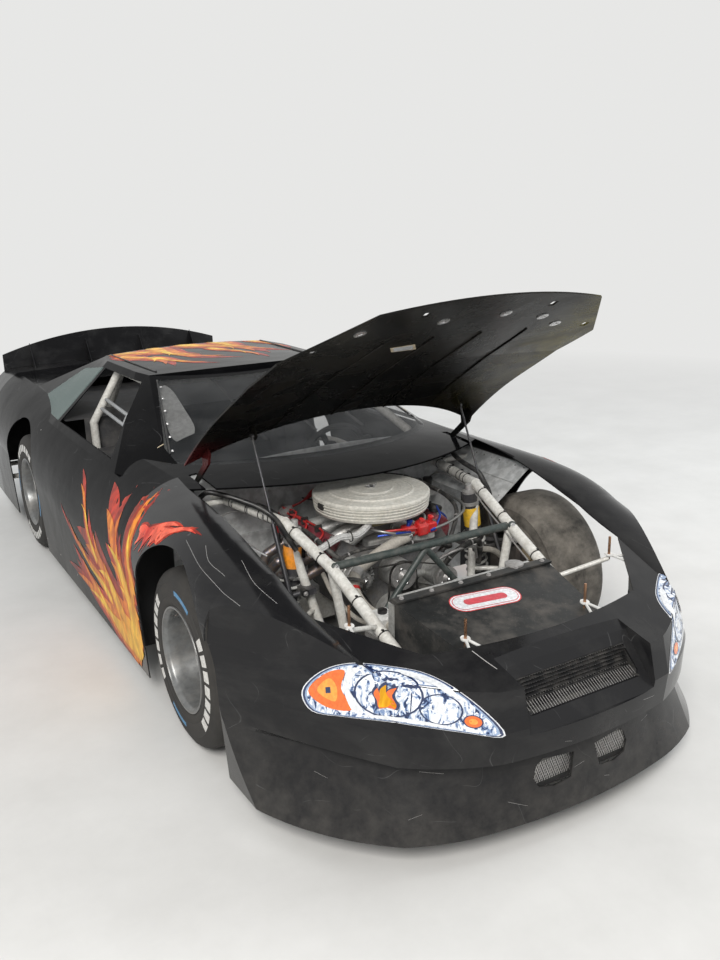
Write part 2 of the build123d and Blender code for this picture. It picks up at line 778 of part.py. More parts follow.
def grown(points, by):
    return [
        (x + (by if x > 0 else -by), z + (by if z > 500 else -by)) for x, z in points
    ]


TUNNEL_TO_Y = DUCT_FRONT_Y - 2
tunnel = less(
    front_prism(grown(GRILLE, 4), -2600, TUNNEL_TO_Y), front_prism(GRILLE, -2601, TUNNEL_TO_Y + 1)
)
SCREEN = [(-2440, 467), (-2436, 467), (-2384, 565), (-2388, 565)]
grille = common(joined(tunnel, side_prism(SCREEN, -240, 240)),
                joined(nose_inside, front_prism(GRILLE, -2445, TUNNEL_TO_Y)))
inlet_meshes = joined(
    *[common(box(side * 38, side * 212, -2462, -2458, 182, 300), nose_inside)
      for side in (-1, 1)],
)

# front suspension that stays still
KINGPIN_X = 690.0
BALL_LOW, BALL_HIGH = 230.0, 470.0


def arms():
    """Control arms, their mount and the shock of the left side."""
    ball = KINGPIN_X - 4
    return joined(
        *[rod((345, FRONT_AXLE_Y + dy, 222), (ball, FRONT_AXLE_Y + dy * 0.06, BALL_LOW - 22),
              15) for dy in (-150, 150)],
        *[rod((440, FRONT_AXLE_Y + dy, 540), (ball, FRONT_AXLE_Y + dy * 0.1, BALL_HIGH + 20),
              11) for dy in (-80, 80)],
        rod((500, FRONT_AXLE_Y, 225), (430, FRONT_AXLE_Y + 10, 770), 34),
        box(396, 452, FRONT_AXLE_Y - 100, FRONT_AXLE_Y + 100, 528, 552),
    )


front_suspension = less(mirrored(arms()), frame, clip)


def knuckle(side):
    centre = (side * TRACK / 2, FRONT_AXLE_Y, TYRE_R)
    king = side * KINGPIN_X
    near, far = sorted((king - 14, king + 14))
    return less(
        joined(
            box(near, far, FRONT_AXLE_Y - 24, FRONT_AXLE_Y + 24, BALL_LOW - 4, BALL_HIGH + 4),
            drum((king, FRONT_AXLE_Y, TYRE_R), (1, 0, 0), 52, 30),
            rod((king, FRONT_AXLE_Y, TYRE_R), (centre[0] + side * 10, centre[1], centre[2]),
                20),
            rod((king, FRONT_AXLE_Y, 275), (side * 655, FRONT_AXLE_Y - 135, 275), 12),
            box(*sorted((side * 668, side * 708)), FRONT_AXLE_Y + 70, FRONT_AXLE_Y + 150,
                TYRE_R - 60, TYRE_R + 60),
            rod((king, FRONT_AXLE_Y, TYRE_R), (king, FRONT_AXLE_Y + 75, TYRE_R), 14),
        ),
        *[drum((king, FRONT_AXLE_Y, z), (0, 0, 1), 12, 60)
          for z in (BALL_LOW - 30, BALL_HIGH + 30)],
    )


tie_rods = joined(
    rod((-650, FRONT_AXLE_Y - 135, 302), (650, FRONT_AXLE_Y - 135, 302), 11),
    *[rod((side * 655, FRONT_AXLE_Y - 135, 289), (side * 655, FRONT_AXLE_Y - 135, 313), 13)
      for side in (-1, 1)],
)

# rear axle and what carries it
axle_at = (0, REAR_AXLE_Y, TYRE_R)
rear_axle = joined(
    drum(axle_at, (1, 0, 0), 42, 1380),
    drum(axle_at, (1, 0, 0), 20, 2 * (TRACK / 2 + 10)),
    drum((0, REAR_AXLE_Y, TYRE_R), (0, 1, 0), 115, 220),
    box(-95, 95, REAR_AXLE_Y + 60, REAR_AXLE_Y + 170, 255, 430),
    *[box(side * 560 - 8, side * 560 + 8, REAR_AXLE_Y - 60, REAR_AXLE_Y + 60, 270, 400)
      for side in (-1, 1)],
)
rear_suspension = less(
    joined(
        *[rod((side * 560, REAR_AXLE_Y - 20, 290), (side * 560, 765, 198), 16)
          for side in (-1, 1)],
        *[rod((side * 545, REAR_AXLE_Y + 20, 392), (side * 440, 1395, 645), 34)
          for side in (-1, 1)],
    ),
    frame, cage, rear_axle,
)
driveline = less(
    rod((0, -300, 365), (0, REAR_AXLE_Y - 100, 352), 38), rear_axle, block, cage, frame
)
fuel_cell = less(
    joined(
        box(-290, 290, 1800, 2250, 300, 560),
        *[box(-445, 445, y - 20, y + 20, 300, 306) for y in (1880, 2170)],
    ),
    frame,
)


def wheel_rim(x, y, side):
    """Barrel, lips, centre plate and brake disc, all turning together."""
    def ring(points):
        with BuildPart() as made:
            with BuildSketch(Plane.XY):
                with BuildLine():
                    Polyline(*points, close=True)
                make_face()
            revolve(axis=Axis.X)
        return made.part

    barrel = ring([(-132, 186), (-132, 207), (-127, 207), (-120, 196), (120, 196),
                   (127, 207), (132, 207), (132, 186), (24, 184), (8, 50), (0, 50),
                   (12, 178), (4, 186)])
    hub = ring([(-78, 24), (-78, 66), (-4, 66), (0, 52), (24, 52), (24, 24)])
    disc = ring([(-82, 60), (-82, 150), (-58, 150), (-58, 60)])
    wheel = joined(barrel, hub, disc)
    holes = []
    for turn in range(0, 360, 72):
        spoke = radians(turn)
        holes.append(drum((10, 120 * sin(spoke), 120 * cos(spoke)), (1, 0, 0), 26, 60))
    wheel = less(wheel, *holes)
    spin = Location((x, y, TYRE_R), (0, 0, 0 if side > 0 else 180))
    return spin * wheel


def wheel_tyre(x, y):
    half = TYRE_W / 2
    with BuildPart() as made:
        with BuildSketch(Plane.XY):
            with BuildLine():
                Polyline((-119, 196.3), (-half, 245), (-half + 4, 312), (-half + 34, TYRE_R),
                         (half - 34, TYRE_R), (half - 4, 312), (half, 245), (119, 196.3),
                         close=True)
            make_face()
        revolve(axis=Axis.X)
    return Location((x, y, TYRE_R)) * made.part


# spoiler across the tail
SPOILER_Y = 2486.0
with BuildPart() as blade:
    with BuildSketch(Plane.XZ.offset(-SPOILER_Y)):
        with BuildLine():
            Line((790, 800), (-790, 800))
            Line((-790, 800), (-790, 1035))
            ThreePointArc((-790, 1035), (0, 1165), (790, 1035))
            Line((790, 1035), (790, 800))
        make_face()
    extrude(amount=-5)
spoiler = less(
    joined(
        blade.part,
        *[side_prism([(2330, 900), (SPOILER_Y, 900), (SPOILER_Y, 1100)], x - 2, x + 2)
          for x in (-600, -200, 200, 600)],
    ),
    body_solid,
)
PIN_HEIGHTS = [(598, 690), (648, 740)]
pins = joined(
    *[rod((side * x, y, low), (side * x, y, high), PIN_R)
      for (x, y), (low, high) in zip(PIN_SPOTS, PIN_HEIGHTS) for side in (-1, 1)],
)
pins = less(pins, duct, clip)

for shape, label in (
    (nose, "nose_panel"),
    (fender_left, "fender_left"),
    (fender_right, "fender_right"),
    (cowl, "cowl_panel"),
    (doors, "door_panels"),
    (quarters, "quarter_panels"),
    (deck, "deck_lid"),
    (tail, "tail_panel"),
    (roof, "roof"),
    (windscreen, "windshield"),
    (rear_window, "rear_window"),
    (quarter_windows, "quarter_windows"),
    (spoiler, "spoiler"),
    (hood, "hood"),
    (strut_tube(STRUT_X), "strut_tube_left"),
    (strut_tube(-STRUT_X), "strut_tube_right"),
    (strut_rod(STRUT_X), "strut_rod_left"),
    (strut_rod(-STRUT_X), "strut_rod_right"),
    (frame, "frame_rails"),
    (cage, "roll_cage"),
    (clip, "front_clip"),
    (brace, "cross_brace"),
    (firewall, "firewall"),
    (hinge_brackets, "hinge_brackets"),
    (cockpit, "cockpit"),
    (seat, "seat"),
    (steering_wheel, "steering_wheel"),
    (block, "engine_block"),
    (less(covers, clip), "valve_covers"),
    (air_cleaner, "air_cleaner"),
    (headers, "headers"),
    (accessories, "engine_accessories"),
    (radiator, "radiator"),
    (duct, "radiator_duct"),
    (grille, "grille"),
    (inlet_meshes, "inlet_meshes"),
    (front_suspension, "front_suspension"),
    (knuckle(1), "knuckle_left"),
    (knuckle(-1), "knuckle_right"),
    (tie_rods, "tie_rods"),
    (rear_axle, "rear_axle"),
    (rear_suspension, "rear_suspension"),
    (driveline, "driveline"),
    (fuel_cell, "fuel_cell"),
    (pins, "hood_pins"),
):
    save(shape, label)

for end, y in (("front", FRONT_AXLE_Y), ("rear", REAR_AXLE_Y)):
    for name, side in (("left", 1), ("right", -1)):
        x = side * TRACK / 2
        save(wheel_rim(x, y, side), f"rim_{end}_{name}")
        save(wheel_tyre(x, y), f"tyre_{end}_{name}")
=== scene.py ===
"""Late model stock car with its hood propped open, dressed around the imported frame.

Lengths are in metres. The nose points to -y, the car's left is +x and the ground is z = 0."""

import json
import random
from math import cos, pi, radians, sin, tau

import bmesh
import bpy
from mathutils import Matrix, Vector
from mathutils.bvhtree import BVHTree
from mathutils.geometry import delaunay_2d_cdt


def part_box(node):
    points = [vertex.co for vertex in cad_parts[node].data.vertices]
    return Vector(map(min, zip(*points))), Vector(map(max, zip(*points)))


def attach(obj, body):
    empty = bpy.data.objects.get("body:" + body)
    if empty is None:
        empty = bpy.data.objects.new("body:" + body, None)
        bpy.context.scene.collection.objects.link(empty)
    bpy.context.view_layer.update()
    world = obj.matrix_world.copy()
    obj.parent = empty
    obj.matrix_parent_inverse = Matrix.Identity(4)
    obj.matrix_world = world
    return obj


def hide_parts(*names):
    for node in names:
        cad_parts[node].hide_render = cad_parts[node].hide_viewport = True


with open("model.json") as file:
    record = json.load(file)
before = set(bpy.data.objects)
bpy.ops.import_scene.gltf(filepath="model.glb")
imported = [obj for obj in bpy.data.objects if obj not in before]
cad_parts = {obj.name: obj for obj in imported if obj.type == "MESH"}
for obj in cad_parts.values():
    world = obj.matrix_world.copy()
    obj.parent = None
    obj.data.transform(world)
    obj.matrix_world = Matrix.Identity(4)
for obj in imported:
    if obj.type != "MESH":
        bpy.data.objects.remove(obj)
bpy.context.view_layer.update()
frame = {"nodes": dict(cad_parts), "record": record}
nodes = frame["nodes"]

# camera and light
PHOTO_H = 960
FOCAL_PX = 922.0
SENSOR_MM = 36.0
CLIP = (0.05, 200)
CAMERA_AT = Vector((-1.938, -4.376, 1.971))
YAW, PITCH, ROLL = radians(30.54), radians(16.4), radians(-1.25)
BACKDROP = (0.80, 0.80, 0.79)
SKY_TINT, SKY_LIGHT = (0.96, 0.98, 1), 0.50
# name, place, aim, width and height, watts and tint of each area lamp
LAMPS = [
    ("key", (-5.2, -7.6, 7.2), (0, -1.2, 0.5), (3.6, 3.6), 960, (1, 0.975, 0.94)),
    ("side", (7.0, -3.0, 5.0), (0, -0.5, 0.6), (4.0, 6.0), 380, (0.95, 0.98, 1)),
    ("back", (-2.0, 9.0, 5.5), (0, 0, 0.8), (9.0, 3.0), 460, (0.93, 0.97, 1)),
]


def add_camera():
    forward = Vector((sin(YAW) * cos(PITCH), cos(YAW) * cos(PITCH), -sin(PITCH)))
    level = Vector((cos(YAW), -sin(YAW), 0))
    upright = level.cross(forward)
    right = level * cos(ROLL) + upright * sin(ROLL)
    up = upright * cos(ROLL) - level * sin(ROLL)
    data = bpy.data.cameras.new("camera")
    data.sensor_fit = "VERTICAL"
    data.sensor_height = SENSOR_MM
    data.lens = FOCAL_PX * SENSOR_MM / PHOTO_H
    data.clip_start, data.clip_end = CLIP
    camera = bpy.data.objects.new("camera", data)
    turn = Matrix((right, up, -forward)).transposed()
    camera.matrix_world = Matrix.Translation(CAMERA_AT) @ turn.to_4x4()
    bpy.context.scene.collection.objects.link(camera)
    bpy.context.scene.camera = camera


def seeing_rays(tree):
    """1 for camera, mirror and glass rays, which see the backdrop instead of the sky's light."""
    rays = tree.nodes.new("ShaderNodeLightPath")
    seeing = rays.outputs["Is Camera Ray"]
    for kind in ("Is Glossy Ray", "Is Transmission Ray"):
        either = tree.nodes.new("ShaderNodeMath")
        either.operation = "MAXIMUM"
        tree.links.new(seeing, either.inputs[0])
        tree.links.new(rays.outputs[kind], either.inputs[1])
        seeing = either.outputs[0]
    return seeing


def add_light():
    scene = bpy.context.scene
    scene.view_settings.view_transform = "Standard"
    for name, at, toward, size, watts, tint in LAMPS:
        data = bpy.data.lights.new(name, "AREA")
        data.shape = "RECTANGLE"
        data.size, data.size_y = size
        data.energy = watts
        data.color = tint
        lamp = bpy.data.objects.new(name, data)
        lamp.visible_glossy = name == "key"
        lamp.location = at
        lamp.rotation_euler = (Vector(toward) - Vector(at)).to_track_quat("-Z", "Y").to_euler()
        scene.collection.objects.link(lamp)
    world = bpy.data.worlds.new("studio")
    scene.world = world
    world.use_nodes = True
    tree = world.node_tree
    tree.nodes.clear()
    light, backdrop = [tree.nodes.new("ShaderNodeBackground") for _ in range(2)]
    light.inputs["Color"].default_value = (*SKY_TINT, 1)
    light.inputs["Strength"].default_value = SKY_LIGHT
    backdrop.inputs["Color"].default_value = (*BACKDROP, 1)
    blend = tree.nodes.new("ShaderNodeMixShader")
    sources = seeing_rays(tree), light.outputs[0], backdrop.outputs[0]
    for source, socket in zip(sources, blend.inputs):
        tree.links.new(source, socket)
    tree.links.new(blend.outputs[0], tree.nodes.new("ShaderNodeOutputWorld").inputs[0])


# materials, by name
LOOKS = {}


class Look:
    """A small builder for procedural materials; coordinates are the car's own, in metres."""

    def __init__(self, name, rough=0.5, metal=0.0, coat=0.0, coat_rough=0.05, alpha=1.0, ior=1.5,
                 gloss=0.5):
        material = bpy.data.materials.new(name)
        material.use_nodes = True
        LOOKS[name] = material
        self.tree = material.node_tree
        self.shader = self.tree.nodes["Principled BSDF"]
        for socket, value in (("Roughness", rough), ("Metallic", metal), ("Coat Weight", coat),
                              ("Coat Roughness", coat_rough), ("Alpha", alpha), ("IOR", ior),
                              ("Specular IOR Level", gloss)):
            self.shader.inputs[socket].default_value = value
        self.place = self.tree.nodes.new("ShaderNodeTexCoord").outputs["Object"]

    def feed(self, socket, value):
        """Links a socket to another node's output, or sets it to a number or a colour."""
        if isinstance(value, bpy.types.NodeSocket):
            self.tree.links.new(value, socket)
        elif socket.type == "RGBA":
            socket.default_value = (*value[:3], 1)
        else:
            socket.default_value = value

    def node(self, kind, sockets, **settings):
        made = self.tree.nodes.new("ShaderNode" + kind)
        for key, value in settings.items():
            setattr(made, key, value)
        for socket, value in sockets.items():
            self.feed(made.inputs[socket], value)
        return made

    def noise(self, scale, detail=4.0, rough=0.55, stretch=(1, 1, 1), distort=0.0):
        mapping = self.node("Mapping", {"Scale": stretch, "Vector": self.place})
        return self.node("TexNoise", {
            "Scale": scale, "Detail": detail, "Roughness": rough, "Distortion": distort,
            "Vector": mapping.outputs[0],
        }).outputs["Fac"]

    def along(self, axis):
        """The place along X, Y or Z."""
        return self.node("SeparateXYZ", {0: self.place}).outputs["XYZ".index(axis)]

    def ramp(self, value, *stops):
        """Values or colours at places from 0 to 1, blended between them."""
        made = self.node("ValToRGB", {0: value})
        elements = made.color_ramp.elements
        while len(elements) < len(stops):
            elements.new(0.5)
        for element, (position, shade) in zip(elements, stops):
            element.position = position
            element.color = (shade, shade, shade, 1)
        return made.outputs[0]

    def fade(self, value, start, end, low=0.0, high=1.0):
        return self.ramp(value, (start, low), (end, high))

    def span(self, value, start, end):
        """0 at the start and 1 at the end, held outside them."""
        return self.node("MapRange", {"From Min": start, "From Max": end, "Value": value},
                         clamp=True).outputs[0]

    def mix(self, factor, a, b):
        return self.node("Mix", {0: factor, 6: a, 7: b}, data_type="RGBA").outputs[2]

    def maths(self, kind, a, b=0.0):
        return self.node("Math", {0: a, 1: b}, operation=kind).outputs[0]

    def times(self, a, b):
        return self.maths("MULTIPLY", a, b)

    def scratches(self, scale, width, stretch=(1, 1, 1)):
        """Thin wandering lines, broken up by patches."""
        field = self.noise(scale, 0.0, 0.4, stretch, 0.3)
        line = self.ramp(field, (0.5 - width, 0.0), (0.5, 1.0), (0.5 + width, 0.0))
        return self.times(line, self.fade(self.noise(scale * 1.7, 2), 0.52, 0.62))

    def finish(self, colour, sheen=None, bump=None, strength=0.2, distance=0.002):
        """Sets the colour, the roughness as (pattern, low, high), and a bump pattern."""
        self.feed(self.shader.inputs["Base Color"], colour)
        if sheen:
            pattern, low, high = sheen
            self.feed(self.shader.inputs["Roughness"], self.fade(pattern, 0.3, 0.7, low, high))
        if bump:
            made = self.node("Bump", {"Strength": strength, "Distance": distance, "Height": bump})
            self.feed(self.shader.inputs["Normal"], made.outputs[0])


def worn(name, base, dust=(0.30, 0.28, 0.25), amount=0.35, rough=(0.35, 0.6), scale=9.0,
         metal=0.0, coat=0.0, bump=0.12, fine=160.0, gloss=0.5, second=None, wheel_shade_past=None):
    """Paint, plastic or metal with uneven dust, roughness and a fine bump; near-black painted shade past
    an x.
    """
    look = Look(name, metal=metal, coat=coat, gloss=gloss)
    broad, small = look.noise(scale, 8, 0.65), look.noise(fine, 3, 0.5)
    patch = look.fade(look.noise(scale * 3, 3), 0.4, 0.6)
    tone = look.mix(patch, base, second or [c * 0.8 for c in base])
    tone = look.mix(look.fade(broad, 0.45, 0.8, 0.0, amount), tone, dust)
    tone = look.mix(look.fade(small, 0.6, 0.8, 0.0, amount * 0.6), tone, dust)
    if wheel_shade_past:
        # the sheet is painted near-black outboard of this x, where it faces a wheel: painted shade for
        # the dark wheel well
        outer = look.span(look.maths("ABSOLUTE", look.along("X")), wheel_shade_past, wheel_shade_past + 0.004)
        tone = look.mix(outer, tone, (0.014, 0.014, 0.015))
    look.finish(tone, (broad, *rough), small, bump, 0.0006)


def simple(name, base, rough=(0.3, 0.5), metal=0.0, dust=0.25, coat=0.0, scale=30.0):
    worn(name, base, amount=dust, rough=rough, metal=metal, coat=coat, scale=scale, bump=0.1,
         fine=300)


def body_paint(name, base, dust, amount, rough, coat=0.0, low_dust=0.35, ior=1.2):
    """Black panel paint: streaked dust, hairline scratches and road dirt near the skirt."""
    look = Look(name, coat=coat, coat_rough=0.08, ior=ior)
    broad = look.noise(3.2, 9, 0.7, (1, 0.6, 1.6), 0.4)
    dirt = look.times(look.span(look.along("Z"), 0.42, 0.1), low_dust)
    dirt = look.times(dirt, look.fade(look.noise(14, 8, 0.7), 0.35, 0.65, 0.1))
    fine = look.times(look.scratches(7, 0.001, (1, 0.4, 1)), 0.10)
    tone = look.mix(look.fade(broad, 0.48, 0.78, 0.0, amount), base, dust)
    tone = look.mix(dirt, tone, (0.27, 0.25, 0.22))
    tone = look.mix(fine, tone, (0.5, 0.5, 0.5))
    look.finish(tone, (broad, *rough), look.noise(2.6, 3, 0.5), 0.25, 0.02)


def hood_paint(name):
    """Dark resin hood whose painted corners glow through as a yellow-green and a red tint."""
    look = Look(name, coat=0.03, coat_rough=0.1, ior=1.16)
    broad = look.noise(4.0, 8, 0.65, distort=0.6)
    x, z = look.along("X"), look.along("Z")
    tone = look.mix(look.fade(broad, 0.45, 0.75, 0.0, 0.4), (0.007, 0.007, 0.0065),
                    (0.034, 0.028, 0.020))
    weave = look.fade(look.noise(7, 6, 0.6, distort=0.8), 0.36, 0.66, 0.1)
    front = look.times(look.span(x, 0.34, 0.90), look.span(z, 1.05, 1.45))
    tone = look.mix(look.times(front, weave), tone, (0.24, 0.20, 0.025))
    rear = look.times(look.span(x, -0.52, -0.68), look.span(z, 1.12, 1.0))
    rear = look.times(look.times(rear, look.span(z, 0.93, 0.99)), 0.6)
    tone = look.mix(rear, tone, (0.13, 0.010, 0.012))
    tone = look.mix(look.times(look.scratches(6, 0.002), 0.12), tone, (0.4, 0.38, 0.34))
    look.finish(tone, (broad, 0.16, 0.38), look.noise(9, 4, 0.6), 0.25, 0.004)


def tyre_rubber(name, dust):
    """Tyre rubber with a brown dust film, dusty streaks and scrubbed grain."""
    look = Look(name, gloss=0.3)
    broad = look.noise(8.0, 8, 0.7)
    tone = look.mix(look.fade(broad, 0.36, 0.72, dust * 0.15, dust), (0.020, 0.0195, 0.019),
                    (0.29, 0.265, 0.23))
    streaks = look.fade(look.noise(30, 4, 0.6, (6, 1, 1)), 0.5, 0.7, 0.0, 0.45)
    tone = look.mix(look.times(streaks, dust), tone, (0.16, 0.15, 0.135))
    look.finish(tone, (broad, 0.65, 0.92), look.noise(260, 2, 0.5), 0.35, 0.0012)


def flame_look(name, deep, bright):
    """Airbrushed flame: streaks of the brighter colour run through the deeper one."""
    look = Look(name, rough=0.3, coat=0.05, coat_rough=0.08, ior=1.2)
    streak = look.noise(5.0, 5, 0.6, (1.0, 1.0, 0.45), 1.4)
    fine = look.noise(24, 3, 0.5, (1, 1, 0.4), 0.8)
    tone = look.mix(look.fade(streak, 0.36, 0.62), deep, bright)
    dark = look.fade(fine, 0.42, 0.6, 0.45, 0.0)
    look.finish(look.mix(dark, tone, [c * 0.3 for c in deep]), None, fine, 0.05, 0.001)


def clear_glass(name, tint, alpha):
    look = Look(name, rough=0.04, alpha=alpha, ior=1.25)
    smear = look.noise(6.0, 5, 0.6)
    film = [c + (1 - c) * 0.06 for c in tint]
    look.finish(look.mix(look.fade(smear, 0.4, 0.8), tint, film), (smear, 0.03, 0.14))


def reflector(name):
    """Printed lamp bowl: silver ground broken by white, pale blue and navy shards."""
    look = Look(name, rough=0.2, coat=0.4, ior=1.4)
    shards = look.noise(34, 3, 0.55, (1, 1, 0.6), 1.8)
    glints = look.noise(70, 2, 0.5, (0.6, 1, 1), 1.2)
    tone = look.mix(look.fade(shards, 0.50, 0.53), (0.46, 0.52, 0.62), (0.78, 0.81, 0.85))
    tone = look.mix(look.fade(shards, 0.44, 0.46, 1.0, 0.0), tone, (0.16, 0.24, 0.42))
    tone = look.mix(look.fade(shards, 0.385, 0.405, 1.0, 0.0), tone, (0.015, 0.03, 0.09))
    tone = look.mix(look.fade(glints, 0.60, 0.64, 0.0, 0.9), tone, (0.9, 0.92, 0.94))
    look.finish(tone, (shards, 0.15, 0.3))


def add_looks():
    """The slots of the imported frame, and the trim that only this script has."""
    body_paint("nose_black", (0.012, 0.012, 0.013), (0.052, 0.051, 0.049), 0.5, (0.12, 0.25),
               low_dust=0.12, ior=1.32)
    body_paint("body_black", (0.003, 0.003, 0.0035), (0.018, 0.018, 0.019), 0.35, (0.08, 0.18),
               low_dust=0.10, ior=1.10)
    body_paint("spoiler_black", (0.012, 0.012, 0.013), (0.08, 0.08, 0.08), 0.4, (0.3, 0.5), 0.2)
    hood_paint("hood_black")
    worn("tube_white", (0.72, 0.71, 0.67), (0.30, 0.26, 0.21), 0.55, (0.28, 0.55), 24.0,
         coat=0.2, second=(0.60, 0.59, 0.55))
    worn("brace_grey", (0.042, 0.055, 0.052), amount=0.3, scale=30.0)
    # its outer strip, past x = 0.756, is painted near-black as the shade in the wheel wells
    worn("sheet_grey", (0.68, 0.69, 0.69), (0.34, 0.32, 0.29), 0.4, (0.32, 0.6), 8.0, metal=0.15,
         second=(0.46, 0.47, 0.47), wheel_shade_past=0.756)
    worn("seat_black", (0.018, 0.018, 0.02), amount=0.2, rough=(0.7, 0.9))
    worn("engine_iron", (0.20, 0.20, 0.205), (0.38, 0.34, 0.28), 0.6, (0.5, 0.75), 26.0,
         metal=0.4, bump=0.4, fine=300)
    worn("cover_maroon", (0.19, 0.022, 0.036), (0.30, 0.25, 0.22), 0.5, (0.22, 0.5), 28.0,
         coat=0.3)
    worn("filter_white", (0.66, 0.64, 0.58), (0.34, 0.30, 0.24), 0.5, (0.45, 0.75), 26.0,
         second=(0.54, 0.53, 0.48))
    worn("header_steel", (0.30, 0.24, 0.20), (0.36, 0.25, 0.16), 0.6, (0.35, 0.6), 24.0,
         metal=0.8, second=(0.2, 0.2, 0.24))
    worn("cast_alloy", (0.62, 0.62, 0.60), (0.30, 0.27, 0.23), 0.45, (0.32, 0.55), 30.0,
         metal=0.5, bump=0.3)
    worn("duct_black", (0.020, 0.021, 0.021), (0.19, 0.17, 0.15), 0.55, (0.3, 0.6), 9.0, gloss=0.4)
    worn("mesh_dark", (0.035, 0.035, 0.035), (0.16, 0.15, 0.13), amount=0.5)
    worn("arm_paint", (0.045, 0.045, 0.05), amount=0.45)
    worn("hub_iron", (0.22, 0.2, 0.19), (0.3, 0.2, 0.13), 0.5, metal=0.5)
    worn("strut_steel", (0.055, 0.055, 0.06), amount=0.25, rough=(0.25, 0.45), metal=0.5)
    worn("pin_metal", (0.62, 0.34, 0.20), amount=0.25, rough=(0.2, 0.4), metal=0.9)
    worn("wheel_grey", (0.20, 0.205, 0.205), (0.30, 0.27, 0.23), 0.45, (0.25, 0.45), 12.0,
         metal=0.55)
    tyre_rubber("tyre_rubber", 0.11)
    tyre_rubber("tyre_dusty", 1.0)
    clear_glass("clear_glass", (0.012, 0.014, 0.016), 0.34)
    clear_glass("quarter_glass", (0.06, 0.11, 0.10), 0.72)
    reflector("lamp_reflector")
    flame_look("flame_yellow", (0.80, 0.30, 0.01), (0.95, 0.62, 0.05))
    flame_look("flame_orange", (0.55, 0.07, 0.005), (0.85, 0.27, 0.01))
    flame_look("flame_red", (0.16, 0.006, 0.004), (0.55, 0.035, 0.01))
    flame_look("flame_ember", (0.07, 0.005, 0.003), (0.40, 0.030, 0.008))
    flame_look("flame_pink", (0.60, 0.025, 0.015), (0.90, 0.16, 0.09))
    simple("trim_black", (0.012, 0.012, 0.013))
    simple("hose_rubber", (0.016, 0.016, 0.016), (0.45, 0.7), dust=0.45)
    simple("hose_tan", (0.42, 0.39, 0.34), (0.45, 0.65), dust=0.4)
    simple("sleeve_silver", (0.62, 0.62, 0.61), (0.4, 0.6), 0.3, 0.4)
    simple("braided_steel", (0.42, 0.42, 0.41), metal=0.85, dust=0.3, scale=300)
    simple("bright_steel", (0.62, 0.62, 0.62), (0.18, 0.38), metal=0.95, dust=0.2)
    simple("dull_steel", (0.46, 0.45, 0.44), (0.35, 0.6), metal=0.5, dust=0.5)
    simple("carb_gold", (0.50, 0.42, 0.24), metal=0.6)
    simple("caliper_tan", (0.52, 0.42, 0.27), (0.4, 0.6), 0.3, 0.4)
    simple("caliper_rear", (0.40, 0.36, 0.30), dust=0.5)
    simple("spring_white", (0.60, 0.60, 0.57))
    simple("white_paint", (0.72, 0.72, 0.70), (0.35, 0.55), dust=0.35, scale=14)
    simple("orange_paint", (0.85, 0.30, 0.02), dust=0.3)
    simple("yellow_paint", (0.85, 0.52, 0.03), dust=0.35)
    simple("red_plastic", (0.55, 0.02, 0.02), (0.25, 0.45), dust=0.2, coat=0.3)
    simple("blue_fitting", (0.02, 0.07, 0.45), (0.22, 0.4), metal=0.5, dust=0.2)
    simple("wire_red", (0.45, 0.02, 0.02), (0.35, 0.5))
    simple("wire_blue", (0.02, 0.06, 0.35), (0.35, 0.5))
    simple("tan_label", (0.62, 0.52, 0.36), (0.4, 0.6))
    simple("sticker_rim", (0.66, 0.05, 0.06))
    simple("sticker_line", (0.60, 0.08, 0.10))
    simple("lamp_navy", (0.012, 0.028, 0.095), (0.12, 0.25), coat=0.8, dust=0.12)
    simple("lamp_pale_blue", (0.30, 0.40, 0.58), (0.15, 0.3), coat=0.8, dust=0.1)
    simple("lamp_white", (0.80, 0.82, 0.84), (0.15, 0.3), coat=0.8, dust=0.12)
    simple("lamp_orange", (0.85, 0.16, 0.02), (0.15, 0.3), coat=0.8, dust=0.1)
    simple("lamp_amber", (0.90, 0.36, 0.05), (0.15, 0.3), coat=0.8, dust=0.1)
    simple("sidewall_white", (0.70, 0.69, 0.66), (0.5, 0.7), dust=0.7, scale=60)
    simple("sidewall_blue", (0.05, 0.22, 0.42), (0.5, 0.7), dust=0.7, scale=60)
    simple("cabin_grey", (0.050, 0.050, 0.053), (0.45, 0.7), dust=0.35, scale=9)
    simple("bar_grey", (0.34, 0.35, 0.36), (0.35, 0.55), dust=0.35)
    # pale grey for scuffs and scratches, and for the painted highlight along the nose's crease
    simple("scuff_and_highlight_pale", (0.46, 0.46, 0.45), (0.5, 0.7), dust=0.4, scale=60)
    simple("pad_cloth", (0.035, 0.035, 0.04), (0.75, 0.95), dust=0.25, scale=120)
    simple("web_black", (0.02, 0.02, 0.022), (0.7, 0.9), dust=0.25, scale=200)


def dress_frame():
    """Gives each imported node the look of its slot."""
    slots = {part["node"]: part["material_slot"] for part in frame["record"]["subparts"]}
    slots["quarter_windows"] = "quarter_glass"
    slots["cockpit"] = "cabin_grey"
    for name, look in slots.items():
        materials = nodes[name].data.materials
        materials.clear()
        materials.append(LOOKS[look])


# directions, and tools that build meshes
UP, DOWN = Vector((0, 0, 1)), Vector((0, 0, -1))
FORE, AFT = Vector((0, -1, 0)), Vector((0, 1, 0))
SIDES = ((-1, "right"), (1, "left"))


def flip(point, side):
    """A point or direction of the left side, mirrored for side -1."""
    return Vector((point[0] * side, point[1], point[2]))


def circle(count, plane, start=0.0, step=None):
    """Directions round a circle in a plane such as "xz", in even steps from an angle."""
    first, second = ("xyz".index(axis) for axis in plane)
    for k in range(count):
        angle = start + k * (step or tau / count)
        out = Vector()
        out[first], out[second] = cos(angle), sin(angle)
        yield out


def ring(centre, axis, side, radius, count):
    other = axis.cross(side)
    return [centre + (side * cos(tau * k / count) + other * sin(tau * k / count)) * radius
            for k in range(count)]


def between(start, end, steps):
    start, end = Vector(start), Vector(end)
    return [start.lerp(end, k / steps) for k in range(steps + 1)]


